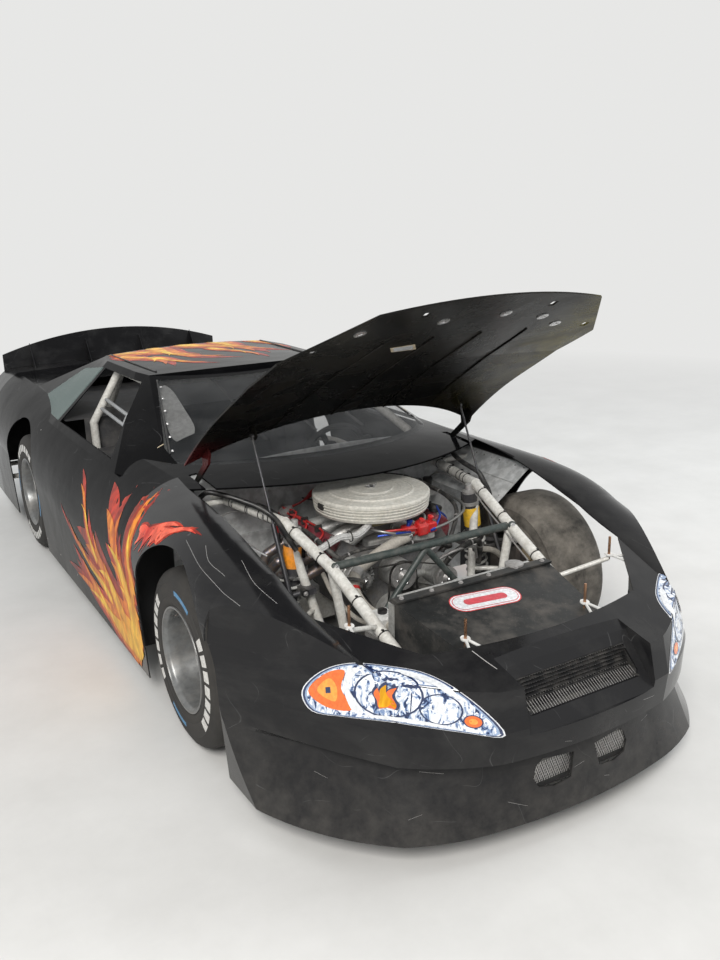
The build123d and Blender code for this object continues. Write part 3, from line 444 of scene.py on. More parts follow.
def curve(points, steps=6, closed=False):
    """A smooth line through the points."""
    points = [Vector(p) for p in points]
    count = len(points)
    line = []
    for spot in range(count if closed else count - 1):
        b, c = points[spot], points[(spot + 1) % count]
        a = points[spot - 1] if spot or closed else b * 2 - c
        d = points[(spot + 2) % count] if spot + 2 < count or closed else c * 2 - b
        for step in range(steps):
            t = step / steps
            line.append(b + (c - a) * (t / 2) + (a * 2 - b * 5 + c * 4 - d) * (t * t / 2)
                        + (b * 3 - a - c * 3 + d) * (t * t * t / 2))
    return line if closed else line + [points[-1]]


class Mesh:
    """Gathers the corners and faces of one piece; looks are named, and one is the usual."""

    def __init__(self, look):
        self.look = look
        self.verts, self.faces, self.looks = [], [], []

    def add(self, verts, faces, look=None):
        start = len(self.verts)
        self.verts.extend(verts)
        self.faces.extend([start + i for i in face] for face in faces)
        self.looks.extend([look or self.look] * len(faces))

    def skin(self, rings, look=None, closed=True, caps=True):
        """Joins rings of equally many points, and closes the first and last with caps."""
        count = len(rings[0])
        faces = []
        for row in range(len(rings) - 1):
            for here in range(count if closed else count - 1):
                a, b = row * count + here, row * count + (here + 1) % count
                faces.append((a, b, b + count, a + count))
        if caps:
            last = (len(rings) - 1) * count
            faces += [tuple(range(count))[::-1], tuple(range(last, last + count))]
        self.add([p for ring in rings for p in ring], faces, look)

    def pipe(self, path, radius, look=None, sides=10, loop=False):
        """A round tube along a path; a list gives each point a radius of its own."""
        path = [Vector(p) for p in path]
        sizes = radius if isinstance(radius, list) else [radius] * len(path)
        rings, side = [], None
        for spot, here in enumerate(path):
            before = path[spot - 1] if spot or loop else here
            after = path[(spot + 1) % len(path)] if spot + 1 < len(path) or loop else here
            ahead = (after - before).normalized()
            side = side or ahead.orthogonal()
            side = (side - ahead * side.dot(ahead)).normalized()
            rings.append(ring(here, ahead, side, sizes[spot], sides))
        if loop:
            rings.append(rings[0])
        self.skin(rings, look, caps=not loop)

    def lathe(self, profile, at, axis, look=None, sides=40, caps=True):
        """A profile of (along, radius) pairs turned about an axis through a point."""
        at, axis = Vector(at), Vector(axis).normalized()
        side = axis.orthogonal().normalized()
        self.skin([ring(at + axis * along, axis, side, radius, sides) for along, radius in profile],
                  look, caps=caps)

    def plate(self, points, rise, edge=0.0, look=None):
        """A flat outline raised along a vector, with its rims eased by the edge."""
        points, rise = [Vector(p) for p in points], Vector(rise)
        middle = sum(points, Vector()) / len(points)
        tight = 1 - edge / max((p - middle).length for p in points)
        inner = [middle + (p - middle) * tight for p in points]
        step = rise.normalized() * min(edge, rise.length * 0.4)
        rings = [points, [p + rise for p in points]]
        if edge:
            rings = [inner, [p + step for p in points], [p + rise - step for p in points],
                     [p + rise for p in inner]]
        self.skin(rings, look)

    def block(self, low, high, edge=0.003, look=None):
        (x0, y0, z0), (x1, y1, z1) = low, high
        self.plate([(x0, y0, z0), (x1, y0, z0), (x1, y1, z0), (x0, y1, z0)], UP * (z1 - z0), edge,
                   look)

    def bolt(self, at, out, size=0.008, look=None):
        """A washer with a hexagon head, its centre a little hollow."""
        washer = [(0, 1.25), (0.25, 1.25), (0.3, 1.1)]
        head = [(0.25, 1), (0.85, 1), (1, 0.85), (0.9, 0.4)]
        for profile, sides in ((washer, 16), (head, 6)):
            self.lathe([(size * along, size * radius) for along, radius in profile], at, out, look,
                       sides)

    def rivet(self, at, out, size=0.004, look=None):
        self.lathe([(0, size), (size * 0.4, size * 0.85), (size * 0.65, size * 0.4)],
                   at, out, look, 10)

    def band(self, at, axis, radius, width=0.006, thick=0.0016, look=None, sides=20):
        """A flat ring round a tube, such as a tie or a clamp."""
        half, outer = width / 2, radius + thick
        self.lathe([(-half, radius), (-half, outer), (half, outer), (half, radius),
                    (-half, radius)], at, axis, look, sides, caps=False)

    def boss(self, at, out, radius, rise, top, top_rise, look=None, sides=24):
        """A short round post with a sloping rim: a lid, a socket or a ball joint's cap."""
        self.lathe([(0, radius), (rise, radius), (top_rise, top)], at, out, look, sides)

    def filler(self, at, out, neck, neck_rise, cap, cap_rise, top, look=None, sides=24):
        """A filler neck with its wider screw cap."""
        self.lathe([(0, neck), (neck_rise, neck), (neck_rise + 0.002, cap), (cap_rise, cap),
                    (cap_rise + 0.004, top)], at, out, look, sides)

    def coil(self, start, end, radius, wire, turns, look=None):
        """A spring between two points."""
        start, end = Vector(start), Vector(end)
        axis = (end - start).normalized()
        side = axis.orthogonal().normalized()
        other = axis.cross(side)
        steps = int(turns * 16)
        path = []
        for step, spot in enumerate(between(start, end, steps)):
            angle = tau * turns * step / steps
            path.append(spot + (side * cos(angle) + other * sin(angle)) * radius)
        self.pipe(path, wire, look, 8)

    def ribs(self, base, directions, reach, half, rise, edge, look=None):
        """Plates that stand out from an axle, such as the ribs of a brake caliper."""
        for out in directions:
            across = Vector((0, -out.z, out.y)) * half
            inner, outer = base + out * reach[0], base + out * reach[1]
            self.plate([inner - across, outer - across, outer + across, inner + across], rise,
                       edge, look)

    def done(self, name, slot, body="car", sharp=35, replaces=()):
        """Makes the piece, which rides on a body and may stand for CAD nodes."""
        data = bpy.data.meshes.new(name)
        data.from_pydata([tuple(v) for v in self.verts], [], self.faces)
        used = list(dict.fromkeys(self.looks))
        for look in used:
            data.materials.append(LOOKS[look])
        data.polygons.foreach_set("material_index", [used.index(look) for look in self.looks])
        solid = bmesh.new()
        solid.from_mesh(data)
        bmesh.ops.recalc_face_normals(solid, faces=solid.faces)
        solid.to_mesh(data)
        solid.free()
        data.polygons.foreach_set("use_smooth", [True] * len(data.polygons))
        data.set_sharp_from_angle(angle=radians(sharp))
        piece = bpy.data.objects.new(name, data)
        bpy.context.scene.collection.objects.link(piece)
        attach(piece, body)
        if replaces:
            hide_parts(*replaces)
        return piece


class Panel:
    """Finds places on CAD panels by shooting rays at them."""

    def __init__(self, *names):
        verts, faces = [], []
        for name in names:
            start = len(verts)
            verts += [v.co.copy() for v in nodes[name].data.vertices]
            faces += [[start + i for i in p.vertices] for p in nodes[name].data.polygons]
        self.tree = BVHTree.FromPolygons(verts, faces)

    def hit(self, start, toward):
        """The first place that the ray meets, and the normal that faces back along it."""
        place, normal, _, _ = self.tree.ray_cast(Vector(start), Vector(toward).normalized())
        if place is None:
            return None, None
        return place, normal if normal.dot(Vector(toward)) < 0 else -normal

    def hits(self, starts, toward):
        """The places and normals of the rays that meet the panel."""
        found = [self.hit(start, toward) for start in starts]
        return [(place, normal) for place, normal in found if place is not None]


def draped(mesh, panel, points, toward, radius, look=None, lift=0.0, sides=6, gap=0.12):
    """A line laid along a panel: the points are thrown onto it, and it breaks where they miss."""
    line = []
    for point in [*points, None]:
        place, normal = panel.hit(point, toward) if point is not None else (None, None)
        if place is None or (line and (place - line[-1]).length > gap):
            if len(line) > 1:
                mesh.pipe(line, radius, look, sides)
            line = []
        if place is not None:
            line.append(place + normal * lift)


def strip(mesh, line, corners, look=None):
    """A bar along (place, normal) pairs; its corners are (x, y, z, along the normal)."""
    if len(line) > 3:
        mesh.skin([[p + Vector((x, y, z)) + n * out for x, y, z, out in corners]
                   for p, n in line], look)


def decal(mesh, panel, outline, throw, lift, look, grid=0.03, near=None, mirror=1):
    """Lays a flat outline on a panel: each point's ray starts at spot(a, b) and runs toward it.

    Points that meet nothing, or a surface too far off, are left out with their faces."""
    spot, toward = throw
    edge = [Vector((mirror * p[0], p[1])) for p in outline]
    low = [min(p[k] for p in edge) for k in (0, 1)]
    high = [max(p[k] for p in edge) for k in (0, 1)]
    inner = []
    for i in range(1, int((high[0] - low[0]) / grid) + 1):
        for j in range(1, int((high[1] - low[1]) / grid) + 1):
            inner.append(Vector((low[0] + i * grid, low[1] + j * grid)))
    flat, _, faces, _, _, _ = delaunay_2d_cdt(edge + inner, [], [list(range(len(edge)))], 1, 1e-6)
    laid = {}
    for i, p in enumerate(flat):
        start = Vector(spot(p[0], p[1]))
        place, normal = panel.hit(start, toward)
        if place is not None and (near is None or (place - start).length < near):
            laid[i] = place + normal * lift
    kept = [f for f in faces if all(i in laid for i in f)]
    used = sorted({i for f in kept for i in f})
    renumber = {old: new for new, old in enumerate(used)}
    mesh.add([laid[i] for i in used], [[renumber[i] for i in f] for f in kept], look)


# how flat outlines are thrown onto the car: a ray's start for each pair, and its direction
BESIDE, ABOVE, BEFORE = 1.3, 1.6, -2.75
FROM_ABOVE = (lambda x, y: (x, y, ABOVE), DOWN)
# a lamp's face runs back at 45 degrees from this place on the nose, and leans back
LAMP_AT_Y, LAMP_FALL, LAMP_OFF = -2.868, (0.60, 0.60, -0.53), 0.25


def from_side(side):
    return (lambda y, z: (side * BESIDE, y, z)), (-side, 0, 0)


def from_corner(side):
    toward = flip(LAMP_FALL, -side)
    return (lambda x, z: Vector((x, LAMP_AT_Y + abs(x), z)) - toward * LAMP_OFF), toward


# flames on the sides, over the front arches and on the roof
FLAME_STEPS = 14
FLAME_RISE = 0.0006
# share of the width, share of the reach and look of each layer, from the lowest
FLAME_LAYERS = [(1.0, 1.0, "flame_red"), (0.72, 0.84, "flame_orange"), (0.40, 0.62, "flame_yellow")]
# root y and z, tip y and z, width, bend: tongues that stream back from the front wheel
SIDE_LICKS = [
    (-0.89, 0.40, -0.84, 0.97, 0.20, 0.020), (-0.89, 0.30, -0.64, 0.86, 0.26, -0.040),
    (-0.90, 0.25, -0.40, 0.82, 0.30, 0.060), (-0.88, 0.20, -0.22, 0.66, 0.28, -0.060),
    (-0.84, 0.19, -0.02, 0.52, 0.27, 0.055), (-0.80, 0.18, 0.14, 0.38, 0.22, -0.040),
    (-0.72, 0.17, 0.34, 0.22, 0.14, 0.020), (-0.91, 0.22, -0.76, 0.70, 0.22, -0.030),
    (-0.90, 0.19, -0.55, 0.60, 0.24, 0.045), (-0.86, 0.18, -0.34, 0.44, 0.22, -0.035),
    (-0.50, 0.30, 0.30, 0.56, 0.10, -0.035), (-0.34, 0.44, 0.06, 0.78, 0.09, 0.030),
]
# broad red glow under them, in the same columns
SIDE_GLOW = [
    (-0.90, 0.20, -0.62, 0.72, 0.42, 0.030), (-0.88, 0.19, -0.36, 0.60, 0.46, -0.050),
    (-0.86, 0.18, -0.12, 0.44, 0.38, 0.045), (-0.80, 0.17, 0.14, 0.30, 0.26, -0.030),
    (-0.92, 0.40, -0.78, 0.88, 0.24, 0.020),
]
# plan x and y in place of y and z: right arch, drawn back and inward, then the roof
ARCH_LICKS = [
    (-0.955, -1.12, -0.845, -1.40, 0.050, 0.014), (-0.945, -1.10, -0.830, -1.34, 0.050, -0.012),
    (-0.955, -1.02, -0.865, -1.27, 0.055, 0.010), (-0.950, -0.96, -0.895, -1.18, 0.050, -0.010),
]
ROOF_LICKS = [
    (-0.42, 0.92, -0.12, 0.36, 0.22, 0.07), (-0.25, 0.94, 0.08, 0.26, 0.20, -0.07),
    (-0.05, 0.94, 0.28, 0.34, 0.21, 0.06), (0.16, 0.94, 0.44, 0.40, 0.19, -0.05),
    (-0.44, 0.78, -0.32, 0.24, 0.15, 0.04), (0.40, 0.92, 0.49, 0.50, 0.12, 0.02),
    (-0.34, 0.60, -0.10, 0.16, 0.10, -0.03), (0.05, 0.70, 0.20, 0.18, 0.10, 0.03),
]


def lick(root, tip, width, bend, reach=1.0):
    """One tongue of flame: wide at its root, with a winding spine and a sharp tip."""
    root, tip = Vector(root), Vector(tip)
    along = (tip - root) * reach
    aside = Vector((-along.y, along.x)).normalized()
    left, right = [], []
    for step in range(FLAME_STEPS + 1):
        t = step / FLAME_STEPS
        spine = root + along * t + aside * bend * (sin(pi * t) - 0.6 * sin(tau * t))
        half = width / 2 * (1 - t) ** 0.75 * (1 + 0.18 * sin(9 * t))
        left.append(spine + aside * half)
        if t < 1:
            right.append(spine - aside * half)
    return left + right[::-1]


def burn(mesh, panel, rows, layers, throw, lift, row_rise, grid, near=None, mirror=1,
         rise=FLAME_RISE):
    """Lays every layer of every tongue, each a little over the last one."""
    for row, (root_a, root_b, tip_a, tip_b, width, bend) in enumerate(rows):
        for level, (wide, reach, look) in enumerate(layers):
            outline = lick((root_a, root_b), (tip_a, tip_b), width * wide, bend, reach)
            decal(mesh, panel, outline, throw, lift + rise * level + row_rise * row, look, grid,
                  near, mirror)


def add_flames():
    glow = [(1.0, 1.0, "flame_ember")]
    core = [(1.0, 1.0, "flame_red"), (0.72, 0.9, "flame_pink")]
    for side, name in SIDES:
        panel = Panel("door_panels", f"fender_{name}")
        mesh = Mesh("flame_red")
        burn(mesh, panel, SIDE_GLOW, glow, from_side(side), 0.0005, 0.00005, 0.03, 0.7)
        burn(mesh, panel, SIDE_LICKS, FLAME_LAYERS, from_side(side), 0.0010, 0.00003, 0.04, 0.7)
        burn(mesh, panel, ARCH_LICKS, core, FROM_ABOVE, 0.0008, 0.0, 0.03, mirror=-side,
             rise=0.0008)
        mesh.done(f"side_flames_{name}", "body_black")
    mesh = Mesh("flame_red")
    burn(mesh, Panel("roof"), ROOF_LICKS, FLAME_LAYERS, FROM_ABOVE, 0.0006, 0.00005, 0.04, 0.45)
    mesh.done("roof_flames", "body_black")


# lamp stickers on the nose: outlines of the right one in x and z, from the front
LAMP_RIM = [(-0.808, 0.538), (-0.765, 0.612), (-0.698, 0.650), (-0.610, 0.655), (-0.524, 0.640),
            (-0.430, 0.570), (-0.356, 0.462), (-0.450, 0.455), (-0.598, 0.462), (-0.700, 0.462),
            (-0.781, 0.470)]


def rounded(points, by=1.0):
    """A smooth closed outline, shrunk toward its middle."""
    middle = sum((Vector(p) for p in points), Vector((0, 0))) / len(points)
    return curve([middle + (Vector(p) - middle) * by for p in points], 5, True)


def oval(x, z, wide, tall, steps=28):
    return [(x + wide * cos(tau * k / steps), z + tall * sin(tau * k / steps))
            for k in range(steps)]


# outline and look, from the lowest layer up: rim, turn lamp, gap, bowls, highlights
LAMP_PARTS = [
    (rounded(LAMP_RIM), "lamp_white"),
    (rounded(LAMP_RIM, 0.985), "lamp_navy"),
    (rounded(LAMP_RIM, 0.955), "lamp_pale_blue"),
    (rounded(LAMP_RIM, 0.930), "lamp_reflector"),
    (rounded([(-0.792, 0.540), (-0.752, 0.607), (-0.706, 0.624), (-0.712, 0.560), (-0.684, 0.490),
              (-0.745, 0.490)]), "lamp_orange"),
    (rounded([(-0.770, 0.545), (-0.742, 0.592), (-0.722, 0.560), (-0.726, 0.512)]), "lamp_amber"),
    ([(-0.748, 0.538), (-0.736, 0.541), (-0.738, 0.562), (-0.750, 0.559)], "lamp_navy"),
    (rounded([(-0.700, 0.622), (-0.674, 0.634), (-0.694, 0.565), (-0.656, 0.488), (-0.682, 0.486),
              (-0.706, 0.560)]), "lamp_white"),
    (oval(-0.604, 0.556, 0.078, 0.080), "lamp_navy"),
    (oval(-0.604, 0.556, 0.073, 0.075), "lamp_reflector"),
    (oval(-0.490, 0.524, 0.046, 0.052), "lamp_navy"),
    (oval(-0.490, 0.524, 0.042, 0.048), "lamp_reflector"),
    (oval(-0.496, 0.530, 0.017, 0.020), "lamp_white"),
    (oval(-0.423, 0.496, 0.021, 0.022), "lamp_navy"),
    (oval(-0.423, 0.496, 0.018, 0.019), "lamp_orange"),
    (oval(-0.423, 0.496, 0.009, 0.010), "lamp_amber"),
    (rounded([(-0.575, 0.642), (-0.500, 0.616), (-0.440, 0.560), (-0.466, 0.572), (-0.520, 0.606),
              (-0.580, 0.628)]), "lamp_white"),
    (rounded([(-0.660, 0.474), (-0.560, 0.468), (-0.440, 0.464), (-0.520, 0.478),
              (-0.610, 0.482)]), "lamp_white"),
]
# tip x and z, width and look of each tongue of the small flame in the main bowl
LAMP_FLAME_ROOT = (-0.602, 0.512)
LAMP_FLAME = [
    (-0.630, 0.584, 0.048, "lamp_navy"), (-0.580, 0.590, 0.046, "lamp_navy"),
    (-0.606, 0.602, 0.052, "lamp_navy"), (-0.626, 0.576, 0.036, "lamp_orange"),
    (-0.584, 0.582, 0.034, "lamp_orange"), (-0.606, 0.590, 0.036, "flame_yellow"),
]


def add_lamps():
    panel = Panel("nose_panel")
    for side, name in SIDES:
        mesh = Mesh("lamp_white")
        throw = from_corner(side)
        for level, (outline, look) in enumerate(LAMP_PARTS):
            decal(mesh, panel, outline, throw, 0.0012 + 0.0002 * level, look, 0.013, mirror=-side)
        for level, (tip_x, tip_z, width, look) in enumerate(LAMP_FLAME):
            tongue = lick(LAMP_FLAME_ROOT, (tip_x, tip_z), width, 0.006)
            decal(mesh, panel, tongue, throw, 0.0064 + 0.0003 * level, look, 0.02, mirror=-side)
        mesh.done(f"lamp_sticker_{name}", "nose_black")


# tyres and wheels
# distance from the middle of the tread and radius, from the bead to the crown, outer side
TYRE_SIDE = [(0.119, 0.197), (0.127, 0.204), (0.1335, 0.222), (0.1345, 0.238), (0.1325, 0.243),
             (0.1345, 0.249), (0.1345, 0.270), (0.1325, 0.292), (0.1338, 0.296), (0.1315, 0.300),
             (0.127, 0.317), (0.119, 0.331), (0.108, 0.341), (0.093, 0.3472), (0.070, 0.3492),
             (0.030, 0.3499)]
BEAD = (0.112, 0.197)
TYRE_TURN = {"front": 40, "rear": 140}
# start and length in degrees, and radii, of the plain pale and blue bars on the sidewall
PALE_BARS = [(first + 12 * k, 9, 0.250, 0.292) for first in (8, 188) for k in range(7)]
BLUE_BARS = [(112, 30, 0.262, 0.280), (292, 30, 0.262, 0.280)]
RIM_PROFILE = [(-0.132, 0.188), (-0.132, 0.206), (-0.128, 0.207), (-0.120, 0.197), (-0.112, 0.1935),
               (0.108, 0.1935), (0.118, 0.197), (0.128, 0.207), (0.132, 0.206), (0.132, 0.199),
               (0.127, 0.197), (0.121, 0.190), (0.112, 0.1865), (0.088, 0.185), (0.082, 0.1835),
               (0.052, 0.1835), (0.046, 0.1815), (0.020, 0.181), (0.012, 0.178), (0.004, 0.168),
               (0.003, 0.150), (0.010, 0.135), (0.012, 0.095), (0.004, 0.082), (0.006, 0.062),
               (0.006, 0.040), (-0.004, 0.040), (-0.004, 0.172), (-0.020, 0.182), (-0.110, 0.184),
               (-0.126, 0.188), (-0.132, 0.188)]
# number and circle of the black discs that stand in for the slots: painted shade
SLOT_SHADES, SLOT_CIRCLE = 10, 0.114
LUGS, LUG_CIRCLE = 5, 0.0635


def side_depth(radius):
    """How far out the sidewall stands at a radius."""
    for (x0, r0), (x1, r1) in zip(TYRE_SIDE, TYRE_SIDE[1:]):
        if r0 <= radius <= r1:
            return x0 + (x1 - x0) * (radius - r0) / (r1 - r0)
    return TYRE_SIDE[0][0]


def sidewall_bar(mesh, at, side, bar, turn, look):
    """A thin bar laid on the sidewall between two radii."""
    start, length, inner, outer = bar
    steps = int(length / 3)
    rings = []
    for row in range(5):
        radius = inner + (outer - inner) * row / 4
        depth = side_depth(radius) + 0.0004
        angles = [radians(start + length * step / steps + turn) for step in range(steps + 1)]
        rings.append([at + Vector((side * depth, radius * sin(a), radius * cos(a))) for a in angles])
    mesh.skin(rings, look, closed=False, caps=False)


def tyre(name, body, at, side, turn):
    mesh = Mesh("tyre_dusty" if name == "tyre_front_left" else "tyre_rubber")
    half = TYRE_SIDE + [(-x, r) for x, r in TYRE_SIDE[::-1]]
    bead_x, bead_r = BEAD
    section = half + [(-bead_x, bead_r), (bead_x, bead_r), TYRE_SIDE[0]]
    mesh.lathe([(side * x, r) for x, r in section], at, (1, 0, 0), None, 128, caps=False)
    for bars, look in ((PALE_BARS, "sidewall_white"), (BLUE_BARS, "sidewall_blue")):
        for bar in bars:
            sidewall_bar(mesh, at, side, bar, turn, look)
    mesh.done(f"{name}_carcass", "tyre_rubber", body, 30, (name,))


def wheel(name, body, at, side):
    """Deep steel wheel: stepped barrel, dished centre, black discs painted as the shade in its slots, lug
    nuts, hub and brake disc.
    """
    mesh = Mesh("wheel_grey")
    out = Vector((side, 0, 0))
    mesh.lathe(RIM_PROFILE, at, out, None, 96, caps=False)
    # black discs on the dished centre: painted shade in place of open slots
    for spoke in circle(SLOT_SHADES, "zy"):
        mesh.lathe([(0.0128, 0.0145), (0.0136, 0.0125), (0.0122, 0.010), (0.0122, 0.001)],
                   at + spoke * SLOT_CIRCLE, out, "trim_black", 14)
    for spoke in circle(LUGS, "zy", pi / LUGS):
        spot = at + spoke * LUG_CIRCLE + out * 0.005
        mesh.lathe([(0, 0.0135), (0.004, 0.0135), (0.005, 0.0125), (0.022, 0.0122),
                    (0.024, 0.010)], spot, out, "dull_steel", 6)
        mesh.lathe([(0.02, 0.0062), (0.042, 0.0062), (0.044, 0.005)], spot, out, "dull_steel", 12)
    mesh.lathe([(0.000, 0.036), (0.034, 0.036), (0.038, 0.033), (0.038, 0.026), (0.048, 0.025),
                (0.050, 0.020)], at, out, "hub_iron", 32)
    mesh.lathe([(-0.080, 0.062), (-0.080, 0.150), (-0.060, 0.150), (-0.060, 0.062),
                (-0.080, 0.062)], at, out, "hub_iron", 64, caps=False)
    mesh.lathe([(-0.078, 0.064), (-0.005, 0.064)], at, out, "hub_iron", 24)
    valve = at + out * 0.075 + Vector((0, 0.12, 0.138))
    mesh.pipe([valve, valve + out * 0.025 - Vector((0, 0.006, 0.007))], 0.0035, "hub_iron", 8)
    mesh.done(f"{name}_steel", "wheel_grey", body, 30, (name,))


def add_wheels():
    for end, turn in TYRE_TURN.items():
        for side, name in SIDES[::-1]:
            low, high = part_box(f"tyre_{end}_{name}")
            at = (Vector(low) + Vector(high)) / 2
            body = f"wheel_{end}_{name}"
            tyre(f"tyre_{end}_{name}", body, at, side, turn)
            wheel(f"rim_{end}_{name}", body, at, side)


# engine bay: places are for the left side unless both signs are given
RAIL = [(0.600, -0.560, 0.806), (0.467, -1.297, 0.803), (0.423, -1.586, 0.703),
        (0.395, -2.120, 0.470)]
RAIL_R = 0.022
WELD = [(-0.005, RAIL_R), (-0.003, RAIL_R + 0.0024), (0.003, RAIL_R + 0.0024), (0.005, RAIL_R)]
# run of the rail and share of its length where a tie sits
TIES = [(0, 0.52), (0, 0.68), (0, 0.80), (0, 0.89), (1, 0.22), (1, 0.80), (2, 0.32), (2, 0.62)]
CLAMP_SHARES = (0.55, 0.70, 0.85)
AIR_HOSE = [(0.640, -0.815, 0.800), (0.622, -0.90, 0.853), (0.572, -1.00, 0.852),
            (0.540, -1.10, 0.848), (0.523, -1.18, 0.846), (0.512, -1.26, 0.838),
            (0.500, -1.31, 0.815), (0.492, -1.36, 0.775), (0.470, -1.40, 0.72)]
BRAKE_LINE = [(0.560, -0.80, 0.70), (0.520, -0.95, 0.765), (0.482, -1.15, 0.778),
              (0.448, -1.30, 0.776), (0.425, -1.42, 0.735), (0.398, -1.60, 0.672),
              (0.382, -1.75, 0.610)]


def ribbed(mesh, path, radius, pitch=0.005, depth=0.0018):
    """Corrugated hose: the radius steps up and down along the path."""
    line = curve(path, 10)
    total = sum((b - a).length for a, b in zip(line, line[1:]))
    count = int(total / pitch) * 2
    spots, step, walked = [], total / count, 0.0
    place = 0
    for k in range(count + 1):
        while place < len(line) - 2 and walked + (line[place + 1] - line[place]).length < k * step:
            walked += (line[place + 1] - line[place]).length
            place += 1
        run = line[place + 1] - line[place]
        spots.append(line[place] + run * min(1.0, (k * step - walked) / max(run.length, 1e-6)))
    mesh.pipe(spots, [radius - depth * (k % 2) for k in range(count + 1)], None, 12)


def add_rails():
    """Ties, welds, corrugated hose and brake line on the white tubes, and the brace's bolts."""
    mesh = Mesh("trim_black")
    for side, _ in SIDES:
        rail = [flip(p, side) for p in RAIL]
        for run, share in TIES:
            at = rail[run].lerp(rail[run + 1], share)
            mesh.band(at, rail[run + 1] - rail[run], RAIL_R + 0.0002, 0.0045)
            head = at + Vector((0.3 * side, -0.2, 1)).normalized() * (RAIL_R + 0.002)
            mesh.block(head - Vector((0.004, 0.004, 0.002)), head + Vector((0.004, 0.004, 0.004)),
                       0.001)
        ribbed(mesh, [flip(p, side) for p in AIR_HOSE], 0.0115)
        for bend in (1, 2):
            mesh.lathe(WELD, rail[bend], rail[bend + 1] - rail[bend - 1], "tube_white", 28, False)
        out = Vector((-0.25 * side, -0.93, 0.28)).normalized()
        mesh.lathe([(0.018, 0.017), (0.027, 0.017), (0.029, 0.0155)], rail[2], out, "brace_grey", 24)
        mesh.bolt(rail[2] + out * 0.029, out, 0.0085, "bright_steel")
        mesh.pipe(curve([flip(p, side) for p in BRAKE_LINE]), 0.0035, "dull_steel", 8)
        for share in CLAMP_SHARES:
            mesh.band(rail[0].lerp(rail[1], share), rail[1] - rail[0], RAIL_R + 0.0005, 0.009,
                      0.0022, "bright_steel")
    mesh.done("rail_fittings", "tube_white")


# x, z, radius and front y of each pulley
PULLEYS = {"crank": (0.0, 0.330, 0.078, -1.402), "pump": (0.0, 0.520, 0.060, -1.418),
           "alternator": (-0.210, 0.560, 0.030, -1.452), "steering": (0.205, 0.470, 0.050, -1.436)}
BELTS = [(("crank", "pump", "alternator"), -1.432), (("crank", "pump", "steering"), -1.418)]
ALTERNATOR = Vector((-0.210, -1.4305, 0.560))
FAN_BLADES = 26


def belt(mesh, wheels, y, width=0.010, thick=0.005):
    """A belt round several pulleys: the hull of their circles."""
    spots = sorted((x + cos(tau * k / 40) * radius, z + sin(tau * k / 40) * radius)
                   for x, z, radius in wheels for k in range(40))
    hull = []
    for points in (spots, spots[::-1]):
        chain = []
        for p in points:
            while len(chain) > 1 and (
                (chain[-1][0] - chain[-2][0]) * (p[1] - chain[-2][1])
                - (chain[-1][1] - chain[-2][1]) * (p[0] - chain[-2][0])
            ) <= 0:
                chain.pop()
            chain.append(p)
        hull += chain[:-1]
    middle = Vector((sum(p[0] for p in hull) / len(hull), 0, sum(p[1] for p in hull) / len(hull)))
    across = Vector((0, width / 2, 0))
    rings = []
    for x, z in hull + hull[:1]:
        place = Vector((x, y, z))
        out = (Vector((x, 0, z)) - middle).normalized() * thick
        rings.append([place - across, place + across, place + across + out, place - across + out])
    mesh.skin(rings, "hose_rubber", caps=False)


def add_front_drive():
    """Grooved pulleys, belts, the alternator's vents and fan, and the water pump's nose."""
    mesh = Mesh("cast_alloy")
    for x, z, radius, y in PULLEYS.values():
        groove = [(0, radius), (0.004, radius), (0.009, radius - 0.009), (0.014, radius),
                  (0.018, radius), (0.018, radius - 0.012), (0.012, radius * 0.45),
                  (0.020, radius * 0.30), (0.026, radius * 0.22)]
        mesh.lathe(groove, (x, y, z), FORE, "dull_steel", 36)
        mesh.bolt((x, y - 0.026, z), FORE, 0.009, "bright_steel")
        for out in circle(4, "xz", 0.4):
            mesh.bolt(Vector((x, y - 0.016, z)) + out * radius * 0.62, FORE, 0.005, "bright_steel")
    for names, y in BELTS:
        belt(mesh, [(PULLEYS[n][0], PULLEYS[n][1], PULLEYS[n][2] - 0.003) for n in names], y)
    for out in circle(FAN_BLADES, "xz"):
        across = Vector((-out.z, 0, out.x)) * 0.0024
        root, tip = ALTERNATOR + out * 0.032, ALTERNATOR + out * 0.061
        mesh.plate([root - across, tip - across * 1.6, tip + across * 1.6, root + across],
                   FORE * 0.012, 0.0006, "bright_steel")
    mesh.lathe([(0, 0.0625), (0.002, 0.064), (0.006, 0.064), (0.008, 0.0605)],
               ALTERNATOR + AFT * 0.004, FORE, None, 48)
    mesh.lathe([(0, 0.038), (0.010, 0.036), (0.012, 0.018)], ALTERNATOR, FORE, None, 32)
    for step in range(3):
        mesh.lathe([(0, 0.0622), (0.002, 0.0645), (0.007, 0.0645), (0.009, 0.0622)],
                   ALTERNATOR + AFT * (0.035 + step * 0.02), FORE, None, 48, False)
    mesh.pipe(curve([(-0.12, -1.36, 0.60), (-0.16, -1.40, 0.635), (-0.21, -1.415, 0.63)]), 0.008,
              None, 8)
    mesh.lathe([(0, 0.052), (0.012, 0.050), (0.020, 0.030), (0.05, 0.028)], (0, -1.33, 0.52), FORE,
               "engine_iron", 32)
    mesh.done("front_drive", "cast_alloy")


TOP_HOSE = [(0.055, -1.345, 0.655), (0.04, -1.395, 0.672), (-0.05, -1.425, 0.668),
            (-0.17, -1.455, 0.640), (-0.255, -1.485, 0.612), (-0.290, -1.520, 0.560),
            (-0.296, -1.60, 0.520), (-0.296, -1.72, 0.515), (-0.296, -1.842, 0.515)]
LOW_HOSE = [(0.04, -1.36, 0.45), (0.16, -1.46, 0.42), (0.27, -1.58, 0.38), (0.30, -1.72, 0.34),
            (0.30, -1.842, 0.33)]
